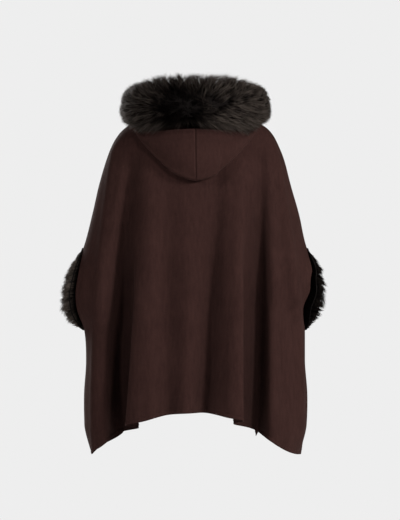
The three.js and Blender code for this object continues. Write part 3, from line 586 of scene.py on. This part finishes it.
def placed_grid(across, down, place, painted_shade=None):
    """A grid whose corners place() puts, and whose attribute "fold", of painted shade, painted_shade()
    gives.
    """
    bm = bmesh.new()
    bmesh.ops.create_grid(bm, x_segments=len(across) - 1, y_segments=len(down) - 1, size=0.5)
    flat = np.array([vertex.co[:2] for vertex in bm.verts])
    column = np.rint((flat[:, 0] + 0.5) * (len(across) - 1)).astype(int)
    row = np.rint((0.5 - flat[:, 1]) * (len(down) - 1)).astype(int)
    points = place(across[column], down[row])
    for vertex, point in zip(bm.verts, points):
        vertex.co = point
    if painted_shade:
        # The attribute "fold" carries painted shade.
        fold = bm.verts.layers.float.new("fold")
        for vertex, value in zip(bm.verts, painted_shade(across[column], down[row])):
            vertex[fold] = value
    return bm


def walled(piece, thickness):
    """Gives a sheet its thickness, inwards from its outer face."""
    wall = piece.modifiers.new("cloth thickness", "SOLIDIFY")
    wall.thickness = thickness
    wall.offset = -1
    wall.use_even_offset = False
    return piece


def turned_edge(distance):
    """How far the cloth stands up at a distance from a turned and stitched edge."""
    turned = TURNED_RISE * (1 - smooth(distance, *TURNED_FADE))
    stitched = STITCH_DEPTH * np.exp(-(((distance - TURNED) / STITCH_WIDTH) ** 2))
    return turned - stitched


def body_place(angle_of, edges, drop_of):
    """Places a grid of columns and drops on the body, and raises its turned edges."""

    def place(column, drop):
        angle = angle_of(column, drop)
        points = skin(angle, drop)
        relief = turned_edge(np.linalg.norm(points - skin(angle, HEM_DROP), axis=-1))
        for edge, gap in edges:
            edge_angle = angle_of(np.full(column.shape, edge), drop)
            relief = relief + turned_edge(np.linalg.norm(points - skin(edge_angle, drop), axis=-1))
            points[:, 1] += np.where(column == edge, gap, 0)
        points += skin_normal(angle, drop) * relief[:, None]
        points[:, 2] -= drop_of(drop, points[:, 0])
        return points

    return place


def lap_angle(side, drop):
    """The angle of a lap of the back, in degrees."""
    x = fold_value(LAPS[side]["x"], drop)
    return np.degrees(angle_at(x, np.maximum(drop, FOLD_LEVELS[0]), "back"))


def back_angle(column, drop):
    """The angle of a column of the back. The columns near a lap follow it down."""
    edge = np.degrees(side_angle(drop, "back"))
    lap = {side: lap_angle(side, drop) for side in LAPS}
    knots = [-90, -STILL_ANGLE]
    values = [-edge, -STILL_ANGLE]
    for side in ("left", "right"):
        knots += [LAP_HOME[side] - LAP_REACH, LAP_HOME[side] + LAP_REACH]
        values += [lap[side] - LAP_REACH, lap[side] + LAP_REACH]
        if side == "left":
            knots.append(0.0)
            values.append(0.0)
    knots += [STILL_ANGLE, 90]
    values += [STILL_ANGLE, edge]
    return np.radians(along_line(knots, values, column))


def front_column(side, column, drop):
    """The angle of a column of a front, counted from the side seam."""
    return along_line(
        [0, FRONT_SIDE_COLUMNS, FRONT_COLUMNS - 1],
        [side_angle(drop, "front"), np.pi - math.radians(STILL_ANGLE), front_angle(drop, side)],
        column,
    )


def back_cloth(material):
    """The back, from side seam to side seam."""
    place = body_place(back_angle, [(-90.0, -SEAM / 2), (90.0, -SEAM / 2)], lambda drop, x: 0)

    # The painted shade in the folds, for the attribute "fold".
    def painted_shade(column, drop):
        return skin_and_painted_shade(back_angle(column, drop), drop)[1]

    bm = placed_grid(BACK_COLUMNS, ROWS, place, painted_shade)
    return walled(new_piece("back_cloth", bm, material), CLOTH)


def front_cloth(side, material):
    """One front, from its side seam to its open edge."""
    sign = 1 if side == "right" else -1
    columns = sign * FRONT_GRID[::sign]

    def angle_of(column, drop):
        return sign * front_column(side, np.abs(column), drop)

    def drop_of(drop, x):
        edge = FRONT_EDGES[side]
        away = np.maximum(0, np.abs(x) - edge["hem"])
        near = np.exp(-away / CORNER["width"])
        return edge["corner_drop"] * near * smooth(drop, CORNER["start"], HEM_DROP) ** 2

    edges = [(columns[np.argmin(np.abs(columns))], SEAM / 2), (columns[np.argmax(np.abs(columns))], 0)]

    # The painted shade in the folds, for the attribute "fold".
    def painted_shade(column, drop):
        return skin_and_painted_shade(angle_of(column, drop), drop)[1]

    bm = placed_grid(columns, ROWS, body_place(angle_of, edges, drop_of), painted_shade)
    return walled(new_piece(f"front_{side}_cloth", bm, material), CLOTH)


def hood_drop(degrees):
    """The drop at which the bottom of the hood lies, at angles in degrees."""
    low = np.zeros(degrees.shape)
    high = np.full(degrees.shape, DEEPEST_HOOD)
    for _ in range(HOOD_HALVINGS):
        drop = (low + high) / 2
        point = form(np.radians(degrees), drop)[0]
        outline = HOOD_TIP + HOOD_RISE * (np.abs(point[..., 0]) / HOOD_HALF_WIDTH) ** HOOD_CURVE
        above = point[..., 2] > outline
        low = np.where(above, drop, low)
        high = np.where(above, high, drop)
    return mix(low, HOOD_FRONT_DROP, smooth(np.abs(degrees), *HOOD_FRONT_TURN))


def hood_sections(degrees):
    """Sections of the hood from the trim to the neck seam, one for each angle: (angles, points, 3)."""
    angle = np.radians(degrees)
    level = form(angle, 0)[1]
    out = np.concatenate([level, np.zeros((len(degrees), 1))], axis=1)
    seam_up = unit(np.cross(skin_normal(angle, NECK_EDGE), skin_across(angle, NECK_EDGE)))
    neck = skin(angle, NECK_EDGE) + seam_up * SEAM
    front = smooth(np.abs(degrees), *STAND_TURN)
    stand = mix(STAND_RISE["back"], STAND_RISE["front"], front)
    lean = mix(STAND_LEAN["back"], STAND_LEAN["front"], front)
    bottom = hood_drop(degrees)
    bend = mix(FOLD_RADIUS["shallow"], FOLD_RADIUS["deep"], smooth(bottom, HOOD_FRONT_DROP, FULL_FOLD))

    def up(rise, reach):
        points = neck + out * np.reshape(reach, (-1, 1))
        points[:, 2] = neck[:, 2] + rise
        return points

    def off_body(share):
        drop = bottom * share
        return form(angle, drop)[0] + skin_normal(angle, drop) * HOOD_GAP

    square = skin_normal(angle, bottom)
    down = unit(off_body(1) - off_body(0.9))

    def folded(turn):
        rounded = square * (bend * (1 - math.cos(turn)))[:, None]
        return off_body(1) + rounded + down * (bend * (math.sin(turn) - 1))[:, None]

    lowest = -np.pi / 2
    edge = trim_point(degrees, lowest, 1)
    inward = trim_point(degrees, lowest - EDGE_STEP, 1) - edge
    along = trim_point(degrees + TRIM_PROBE, lowest, 1) - trim_point(degrees - TRIM_PROBE, lowest, 1)
    away = unit(np.cross(inward, along))
    sewn = edge + away * TRIM_SEAM
    hang = np.linalg.norm(sewn - folded(np.pi), axis=-1)
    below = sewn + away * np.minimum(EDGE_HANG, MOST_HANG * hang)[:, None]

    def full(share):
        return mix(folded(np.pi), below, share) + out * (FULLNESS * hang * math.sin(np.pi * share))[:, None]

    return np.stack(
        [
            sewn,
            below,
            *(full(share) for share in (0.75, 0.5, 0.25)),
            *(folded(np.pi * share) for share in (1, 0.75, 0.5, 0.25, 0)),
            off_body(0.7),
            off_body(0.35) + square * INSIDE_LAYER_LIFT,
            up(stand, lean + 2 * TURN_OVER),
            up(stand + TURN_OVER, lean + TURN_OVER),
            up(stand, lean),
            up(stand * 0.5, lean * 0.3),
            neck,
        ],
        axis=1,
    )


def through(sections, at):
    """Reads smooth curves through the points of each section at a place counted in points."""
    chords = np.maximum(np.linalg.norm(np.diff(sections, axis=1), axis=-1), 1e-6) ** 0.5
    speeds = np.diff(sections, axis=1) / chords[..., None]
    inner = (speeds[:, 1:] * chords[:, :-1, None] + speeds[:, :-1] * chords[:, 1:, None]) / (
        chords[:, 1:, None] + chords[:, :-1, None]
    )
    slopes = np.concatenate([speeds[:, :1], inner, speeds[:, -1:]], axis=1)
    index, at = at
    i = np.minimum(at.astype(int), sections.shape[1] - 2)
    t = (at - i)[:, None]
    span = chords[index, i][:, None]
    return (
        sections[index, i] * (1 + 2 * t) * (1 - t) ** 2
        + sections[index, i + 1] * t * t * (3 - 2 * t)
        + span * (slopes[index, i] * t * (1 - t) ** 2 - slopes[index, i + 1] * t * t * (1 - t))
    )


HOOD_COLUMNS = stretches(0.0, (3.5, 8), (84, 64), (TRIM_LAST, 40))
LAST_POINT = 16  # of a section of the hood, at the neck
HOOD_ROWS = stretches(0.0, (1, 6), (5, 34), (9, 16), (LAST_POINT, 22))
HOOD_OUTER = (5, 6)  # the points of a section between which the relief of the middle seam ends
ROW_PROBE = 0.02
HOOD_SEAM = {"trough": 0.0012, "ridge": 0.0009, "width": 0.0016, "ridge_at": 0.0042}


def hood_cloth(side, material):
    """One half of the hood. It is drawn in at the seam down the middle."""
    sign = 1 if side == "right" else -1
    degrees = sign * HOOD_COLUMNS[::sign]
    sections = hood_sections(degrees)
    middle = np.argmin(np.abs(degrees))

    def place(column, at):
        index = np.searchsorted(degrees, column)
        points = through(sections, (index, at))
        seam = np.linalg.norm(points - through(sections, (np.full(index.shape, middle), at)), axis=-1)
        trough = HOOD_SEAM["trough"] * np.exp(-((seam / HOOD_SEAM["width"]) ** 2))
        ridge = HOOD_SEAM["ridge"] * np.exp(-(((seam - HOOD_SEAM["ridge_at"]) / HOOD_SEAM["width"]) ** 2))
        outer = 1 - smooth(at, *HOOD_OUTER)
        lower = through(sections, (index, np.minimum(at + ROW_PROBE, LAST_POINT)))
        down = lower - through(sections, (index, np.maximum(at - ROW_PROBE, 0)))
        beside = np.clip(index + 1, 0, len(degrees) - 1)
        before = np.clip(index - 1, 0, len(degrees) - 1)
        normal = unit(np.cross(down, through(sections, (beside, at)) - through(sections, (before, at))))
        points += normal * ((ridge - trough) * outer)[:, None]
        points[:, 0] += sign * SEAM / 2
        return points

    bm = placed_grid(degrees, HOOD_ROWS, place)
    return walled(new_piece(f"hood_{side}_cloth", bm, material), CLOTH)


def cuff_frame(side, turn):
    """Where a cuff's edge is at a turn round its opening, and the directions along and square to it."""
    sign = 1 if side == "right" else -1

    def edge(at):
        drop = CUFF_MIDDLE - CUFF_HALF_HEIGHT * np.cos(at)
        back = np.mod(at, 2 * np.pi) <= np.pi
        angle = sign * np.where(back, side_angle(drop, "back"), side_angle(drop, "front"))
        return angle, drop

    angle, drop = edge(turn)
    point = skin(angle, drop)
    normal = skin_normal(angle, drop)
    along = unit(skin(*edge(turn + CUFF_PROBE)) - skin(*edge(turn - CUFF_PROBE)))
    inward = unit(np.cross(normal, along) * sign)
    return point, normal, inward, drop


def cuff_point(side, turn, bow, size):
    """A point of a cuff trim: bow is 0 outside, half pi at the tips in the opening, and pi inside."""
    point, normal, inward, drop = cuff_frame(side, turn)
    way = np.clip((drop - CUFF_MIDDLE + CUFF_HALF_HEIGHT) / (2 * CUFF_HALF_HEIGHT), 0, 1) ** CUFF_SAG[side]
    swell = np.maximum(0, np.sin(np.pi * way)) ** CUFF_FULLNESS
    out = size * mix(CUFF_PILE_OUT["ends"], CUFF_PILE_OUT[side], swell)
    inside = size * CUFF_PILE_INSIDE
    off = (out - inside) / 2 + (out + inside) / 2 * np.cos(bow)
    into = SEAM + CUFF_LEAN + size * (CUFF_PILE - CUFF_LEAN) * np.sin(bow)
    return point + inward * into[..., None] + normal * off[..., None]


def strands(name, levels, width, tone, material):
    """Closed tapering hairs as one mesh. levels are points from root to tip, each (hairs, 3)."""
    rng = np.random.default_rng(len(name))
    count = len(levels[0])
    across = unit(rng.normal(size=(count, 3)))
    rings = []
    for k, share in enumerate(HAIR_RINGS):
        ahead = unit(levels[k + 1] - levels[max(k - 1, 0)])
        first = unit(np.cross(ahead, across))
        second = np.cross(ahead, first)
        for corner in range(HAIR_SIDES):
            turn = 2 * np.pi * corner / HAIR_SIDES
            reach = (width * share / 2)[:, None]
            rings.append(levels[k] + reach * (first * math.cos(turn) + second * math.sin(turn)))
    points = np.stack([*rings, levels[-1]], axis=1)
    each = points.shape[1]
    quads = []
    for k in range(len(HAIR_RINGS) - 1):
        for corner in range(HAIR_SIDES):
            beside = (corner + 1) % HAIR_SIDES
            low, high = k * HAIR_SIDES, (k + 1) * HAIR_SIDES
            quads.append((low + corner, low + beside, high + beside, high + corner))
    last = (len(HAIR_RINGS) - 1) * HAIR_SIDES
    tips = [(last + corner, last + (corner + 1) % HAIR_SIDES, each - 1) for corner in range(HAIR_SIDES)]
    root = [tuple(reversed(range(HAIR_SIDES)))]
    starts = (np.arange(count) * each)[:, None, None]
    faces = (starts + np.array(quads)).reshape(-1, 4).tolist()
    faces += (starts + np.array(tips + root)).reshape(-1, 3).tolist()
    mesh = bpy.data.meshes.new(name)
    mesh.from_pydata(points.reshape(-1, 3), [], faces)
    shade = np.concatenate([np.repeat(HAIR_SHADES[:-1], HAIR_SIDES), HAIR_SHADES[-1:]])
    for attribute, values in (("along", np.tile(shade, count)), ("tone", np.repeat(tone, each))):
        mesh.attributes.new(attribute, "FLOAT", "POINT").data.foreach_set("value", values.astype(np.float32))
    return placed_piece(name, mesh, material)


# How finely each backing is made, and the turn that it leaves open at its edges, as the roots do
HOOD_STRIP = {"along": 161, "around": 49, "open": 0.03}
CUFF_STRIP = {"around": 97, "across": 17, "open": 0.05}
HOOD_ROOTS_OPEN = 0.05
CUFF_ROOTS_OPEN = 0.02
LEAST_BOW = 0.01


def hood_backing(material):
    """The hood trim's strip, folded double along the edge and gathered at its front ends."""
    along = np.linspace(-TRIM_END, TRIM_END, HOOD_STRIP["along"])
    gap = HOOD_STRIP["open"]
    around = np.linspace(-np.pi / 2 + gap, 1.5 * np.pi - gap, HOOD_STRIP["around"])

    def place(angle, turn):
        return trim_point(angle, turn, BACKING_SIZE * tip_size(angle))

    bm = placed_grid(along, around[::-1], place)
    return walled(new_piece("hood_trim_backing", bm, material), BACKING)


def central_step(place, step):
    """How fast a place changes around nought."""
    return (place(step) - place(-step)) / (2 * step)


def grown(hairs, rng, nearest, sway, lean, apart, root, place):
    """The levels, widths and tones of a trim's hairs.

    sway is how far each lump strays. lean and apart are how far each hair leans and how far off its lump is,
    both for the two ways on the trim. root is the size that it starts from, and place() puts its points.
    """
    count = hairs["count"]
    tone = hairs["tone"]
    goes = []
    pulls = []
    for k, most in enumerate(hairs["most_pull"]):
        own = hairs["hair_stray"][k] * rng.normal(size=count)
        goes.append(lean[k] + (hairs["lump_stray"][k] * sway[nearest, k] + own))
        pulls.append(hairs["clumping"] * apart[k].clip(-most, most))
    over = rng.uniform(*hairs["reach"], count) + rng.uniform(*hairs["lump_reach"], hairs["lumps"])[nearest]
    levels = []
    for way, share in hairs["levels"]:
        moved = [go * way ** hairs["bend"] + pull * way for go, pull in zip(goes, pulls)]
        levels.append(place(moved, way, mix(root, over, share)))
    width = HAIR_WIDTH * rng.uniform(*hairs["width"], count)
    shade = tone["middle"] + tone["hair"] * rng.normal(size=count) + tone["lump"] * sway[nearest, 0]
    return levels, width, np.clip(shade, tone["least"], 1)


def hood_pile(side, material):
    """The hairs of one half of the hood trim. They fan out from the parting at the centre back."""
    count, lumps = HOOD_HAIRS["count"], HOOD_HAIRS["lumps"]
    sign = 1 if side == "right" else -1
    rng = np.random.default_rng(HOOD_HAIRS["seeds"][side])
    angle = sign * rng.uniform(0, TRIM_END, count)
    turn = rng.uniform(-np.pi / 2 + HOOD_ROOTS_OPEN, 1.5 * np.pi - HOOD_ROOTS_OPEN, count)
    lump_angle = sign * rng.uniform(-LUMP_MARGIN, TRIM_END, lumps)
    lump_turn = rng.uniform(-np.pi / 2, 1.5 * np.pi, lumps)
    full = trim_point(angle, turn, tip_size(angle))
    nearest = nearest_of(full, trim_point(lump_angle, lump_turn, tip_size(lump_angle)))
    sway = rng.normal(size=(lumps, 2))
    lump_length = rng.uniform(*FAN["lump"], lumps)
    by_angle = central_step(lambda step: trim_point(angle + np.degrees(step), turn, 1), FAN_PROBE)
    by_turn = central_step(lambda step: trim_point(angle, turn + step, 1), FAN_PROBE)
    fan = unit(full - PARTING)
    length = FAN["length"] * lump_length[nearest] * rng.uniform(*FAN["hair"], count)

    def fanned(by):
        return np.einsum("ij,ij->i", fan, unit(by)) * length / np.linalg.norm(by, axis=-1).clip(NARROWEST)

    def place(moved, way, size):
        at = np.clip(angle + np.degrees(moved[0]), -TRIM_END, TRIM_END)
        points = trim_point(at, turn + moved[1], tip_size(at) * size)
        points[:, 2] -= PILE_SAG * way**2 * (1 - smooth(full[:, 2], *SAG_LEVELS))
        return points

    lean = (fanned(by_angle), fanned(by_turn))
    apart = (np.radians(lump_angle[nearest] - angle), lump_turn[nearest] - turn)
    root = BACKING_SIZE - ROOT_DEPTH
    levels, width, tone = grown(HOOD_HAIRS, rng, nearest, sway, lean, apart, root, place)
    # Painted shade: the hairs near the parting are darkened.
    from_core = np.linalg.norm(full - PAINTED_SHADE_CORE["place"], axis=-1)
    tone *= mix(PAINTED_SHADE_CORE["tone"], 1, smooth(from_core, *PAINTED_SHADE_CORE["reach"]))
    return strands(f"hood_trim_pile_{side}", levels, width, tone, material)


def nearest_of(points, seeds):
    """The index of the seed nearest to each point."""
    found = np.empty(len(points), int)
    for start in range(0, len(points), AT_ONCE):
        part = points[start : start + AT_ONCE]
        found[start : start + AT_ONCE] = np.argmin(((part[:, None] - seeds[None]) ** 2).sum(-1), axis=1)
    return found


def cuff_backing(side, material):
    """A cuff trim's strip, a ring folded double over the edge of the opening."""
    around = np.linspace(0, 2 * np.pi, CUFF_STRIP["around"])
    bows = np.linspace(CUFF_STRIP["open"], np.pi - CUFF_STRIP["open"], CUFF_STRIP["across"])

    def place(turn, bow):
        return cuff_point(side, turn, bow, CUFF_BACKING_SIZE)

    sign = 1 if side == "right" else -1
    bm = placed_grid(around[::sign], bows, place)
    bmesh.ops.remove_doubles(bm, verts=bm.verts, dist=1e-5)
    return walled(new_piece(f"cuff_{side}_backing", bm, material), BACKING)


def cuff_pile(side, material):
    """The hairs of one cuff trim, hanging a little towards its lower end."""
    count, lumps = CUFF_HAIRS["count"], CUFF_HAIRS["lumps"]
    rng = np.random.default_rng(CUFF_HAIRS["seeds"][side])
    turn = rng.uniform(0, 2 * np.pi, count)
    bow = rng.uniform(CUFF_ROOTS_OPEN, np.pi - CUFF_ROOTS_OPEN, count)
    lump_turn = rng.uniform(0, 2 * np.pi, lumps)
    lump_bow = rng.uniform(0, np.pi, lumps)
    nearest = nearest_of(cuff_point(side, turn, bow, 1.0), cuff_point(side, lump_turn, lump_bow, 1.0))
    sway = rng.normal(size=(lumps, 2))

    def place(moved, way, size):
        at_bow = np.clip(bow + moved[1], LEAST_BOW, np.pi - LEAST_BOW)
        return cuff_point(side, turn + moved[0], at_bow, size)

    lean = (np.sin(turn) * CUFF_FALL, CUFF_SWEEP * (np.pi / 4 - bow))
    apart = (lump_turn[nearest] - turn, lump_bow[nearest] - bow)
    root = mix(CUFF_EDGE["size"], CUFF_BACKING_SIZE - ROOT_DEPTH, smooth(bow, 0, CUFF_EDGE["bow"]))
    levels, width, tone = grown(CUFF_HAIRS, rng, nearest, sway, lean, apart, root, place)
    # The cuff's painted light or shade scales its hairs' tones.
    return strands(f"cuff_{side}_pile", levels, width, CUFF_PAINTED_LIGHT_AND_SHADE[side] * tone, material)


def new_material(name):
    """A material with its nodes, and helpers that add and join nodes."""
    material = bpy.data.materials.new(name)
    material.use_nodes = True
    nodes = material.node_tree.nodes
    shader = next(node for node in nodes if node.type == "BSDF_PRINCIPLED")

    def node(kind, **settings):
        made = nodes.new(kind)
        for key, value in settings.items():
            if key in made.inputs:
                made.inputs[key].default_value = value
            else:
                setattr(made, key, value)
        return made

    return material, shader, node, material.node_tree.links.new


def ramp(node, stops):
    """A colour ramp between two stops."""
    made = node("ShaderNodeValToRGB")
    for element, (position, colour) in zip(made.color_ramp.elements, stops):
        element.position = position
        element.color = colour
    return made


def blended(node, link, first, second, share):
    """A mix of two values with a share of the second."""
    made = node("ShaderNodeMix", data_type="FLOAT")
    made.inputs["Factor"].default_value = share
    link(first, made.inputs["A"])
    link(second, made.inputs["B"])
    return made.outputs["Result"]


def wool():
    """Felted double-faced wool: a soft nap, mottled and finely streaked, with painted shade in the deep
    folds and under the laps.
    """
    material, shader, node, link = new_material("wool_cloth")
    shader.inputs["Roughness"].default_value = 0.95
    shader.inputs["Specular IOR Level"].default_value = 0.02
    shader.inputs["Sheen Weight"].default_value = 0.02
    shader.inputs["Sheen Roughness"].default_value = 0.5
    shader.inputs["Sheen Tint"].default_value = WOOL_SHEEN
    place = node("ShaderNodeTexCoord").outputs["Object"]
    mottle = node("ShaderNodeTexNoise", Scale=260.0, Detail=4.0, Roughness=0.65)
    cloud = node("ShaderNodeTexNoise", Scale=14.0, Detail=2.0)
    nap = node("ShaderNodeTexNoise", Scale=900.0, Detail=3.0, Roughness=0.7)
    streak = node("ShaderNodeTexNoise", Scale=1.0, Detail=3.0, Roughness=0.6)
    grain = node("ShaderNodeMapping")
    grain.inputs["Scale"].default_value = STREAKS
    link(place, grain.inputs["Vector"])
    link(grain.outputs["Vector"], streak.inputs["Vector"])
    for texture in (mottle, cloud, nap):
        link(place, texture.inputs["Vector"])
    mottled = blended(node, link, mottle.outputs["Fac"], cloud.outputs["Fac"], share=0.35)
    brushed = blended(node, link, mottled, streak.outputs["Fac"], share=0.40)
    colours = ramp(node, WOOL)
    link(brushed, colours.inputs["Fac"])
    # Painted shade: the attribute "fold" darkens the colour in the deep folds and under the laps.
    fold = node("ShaderNodeAttribute", attribute_name="fold")
    keep = node("ShaderNodeMath", operation="MULTIPLY_ADD")
    keep.inputs[1].default_value = -FOLD_SHADE
    keep.inputs[2].default_value = 1.0
    link(fold.outputs["Fac"], keep.inputs[0])
    darkened = node("ShaderNodeVectorMath", operation="SCALE")
    link(colours.outputs["Color"], darkened.inputs[0])
    link(keep.outputs["Value"], darkened.inputs["Scale"])
    link(darkened.outputs["Vector"], shader.inputs["Base Color"])
    bump = node("ShaderNodeBump", Strength=0.5, Distance=0.0008)
    link(nap.outputs["Fac"], bump.inputs["Height"])
    link(bump.outputs["Normal"], shader.inputs["Normal"])
    return material


def pile_hair():
    """Near-black hairs, lighter, browner and glossier towards their tips."""
    material, shader, node, link = new_material("faux_fur")
    shader.inputs["Roughness"].default_value = 0.7
    along = node("ShaderNodeAttribute", attribute_name="along")
    # The attribute "tone" holds each hair's own tone, times painted shade by the hood's parting and painted
    # light and shade on the cuffs.
    tone = node("ShaderNodeAttribute", attribute_name="tone")
    both = node("ShaderNodeMath", operation="MULTIPLY")
    link(along.outputs["Fac"], both.inputs[0])
    link(tone.outputs["Fac"], both.inputs[1])
    colours = ramp(node, FUR)
    link(both.outputs["Value"], colours.inputs["Fac"])
    link(colours.outputs["Color"], shader.inputs["Base Color"])
    gloss = node("ShaderNodeMath", operation="MULTIPLY")
    gloss.inputs[1].default_value = FUR_GLOSS
    link(both.outputs["Value"], gloss.inputs[0])
    link(gloss.outputs["Value"], shader.inputs["Specular IOR Level"])
    return material


def pile_backing():
    """The dark woven strip under the hairs."""
    material, shader, node, link = new_material("pile_backing")
    shader.inputs["Roughness"].default_value = 0.95
    shader.inputs["Specular IOR Level"].default_value = 0.05
    place = node("ShaderNodeTexCoord").outputs["Object"]
    speckle = node("ShaderNodeTexNoise", Scale=420.0, Detail=3.0)
    link(place, speckle.inputs["Vector"])
    colours = ramp(node, STRIP)
    link(speckle.outputs["Fac"], colours.inputs["Fac"])
    link(colours.outputs["Color"], shader.inputs["Base Color"])
    return material


def add_camera():
    """Behind the poncho and far off, so that the picture is nearly free of perspective."""
    lens = bpy.data.cameras.new("camera")
    lens.sensor_width = SENSOR * 1000
    lens.lens = 1000 * SENSOR * CAMERA_DISTANCE / FRAME_HEIGHT
    lens.clip_end = 3 * CAMERA_DISTANCE
    camera = bpy.data.objects.new("camera", lens)
    camera.location = (CAMERA_AIM[0], -CAMERA_DISTANCE, CAMERA_AIM[1])
    camera.rotation_euler = (math.pi / 2, 0, 0)
    bpy.context.scene.collection.objects.link(camera)
    bpy.context.scene.camera = camera


def add_light(name, place, size, power):
    """A square soft light that faces the poncho and doesn't show itself."""
    lamp = bpy.data.lights.new(name, "AREA")
    lamp.size = size
    lamp.energy = power
    light = bpy.data.objects.new(name, lamp)
    light.location = place
    toward = np.array(LIGHT_AIM) - np.array(place)
    light.rotation_euler = (
        math.acos(-toward[2] / np.linalg.norm(toward)),
        0,
        math.atan2(toward[1], toward[0]) - math.pi / 2,
    )
    light.visible_camera = False
    bpy.context.scene.collection.objects.link(light)


def add_studio():
    """Pale surroundings, a pale floor far below, and soft lights from right, left and front."""
    scene = bpy.context.scene
    scene.view_settings.view_transform = "Standard"
    world = bpy.data.worlds.new("studio")
    scene.world = world
    world.use_nodes = True
    nodes = world.node_tree.nodes
    seen = nodes["Background"]
    seen.inputs["Color"].default_value = PALE
    ambient = nodes.new("ShaderNodeBackground")
    ambient.inputs["Color"].default_value = PALE
    ambient.inputs["Strength"].default_value = AMBIENT
    path = nodes.new("ShaderNodeLightPath")
    choose = nodes.new("ShaderNodeMixShader")
    link = world.node_tree.links.new
    link(path.outputs["Is Camera Ray"], choose.inputs["Fac"])
    link(ambient.outputs["Background"], choose.inputs[1])
    link(seen.outputs["Background"], choose.inputs[2])
    link(choose.outputs["Shader"], nodes["World Output"].inputs["Surface"])
    for light in LIGHTS:
        add_light(**light)
    floor_mesh = bmesh.new()
    bmesh.ops.create_circle(floor_mesh, cap_ends=True, radius=FLOOR_RADIUS, segments=96)
    bmesh.ops.translate(floor_mesh, verts=floor_mesh.verts, vec=(0, 0, FLOOR_DROP))
    mesh = bpy.data.meshes.new("floor")
    floor_mesh.to_mesh(mesh)
    floor_mesh.free()
    paint, shader, _, _ = new_material("floor_paint")
    shader.inputs["Base Color"].default_value = FLOOR_PAINT
    shader.inputs["Roughness"].default_value = 0.9
    mesh.materials.append(paint)
    floor = bpy.data.objects.new("floor", mesh)
    scene.collection.objects.link(floor)


add_camera()
add_studio()
wool_cloth = wool()
faux_fur = pile_hair()
backing = pile_backing()

cloths = {
    "back_panel": (back_cloth(wool_cloth), (0.82, 0.88), 0.575),
    "front_left": (front_cloth("left", wool_cloth), (0.40, 0.86), 0.215),
    "front_right": (front_cloth("right", wool_cloth), (0.40, 0.88), 0.215),
    "hood_left": (hood_cloth("left", wool_cloth), (0.32, 0.34), 0.080),
    "hood_right": (hood_cloth("right", wool_cloth), (0.32, 0.34), 0.080),
}
for node_name, (cloth, flat, area) in cloths.items():
    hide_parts(node_name)

hood_strip = hood_backing(backing)
hood_piles = [hood_pile(side, faux_fur) for side in ("left", "right")]
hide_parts("hood_trim")
for side in ("left", "right"):
    cuff_strip = cuff_backing(side, backing)
    pile = cuff_pile(side, faux_fur)
    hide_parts(f"cuff_trim_{side}")
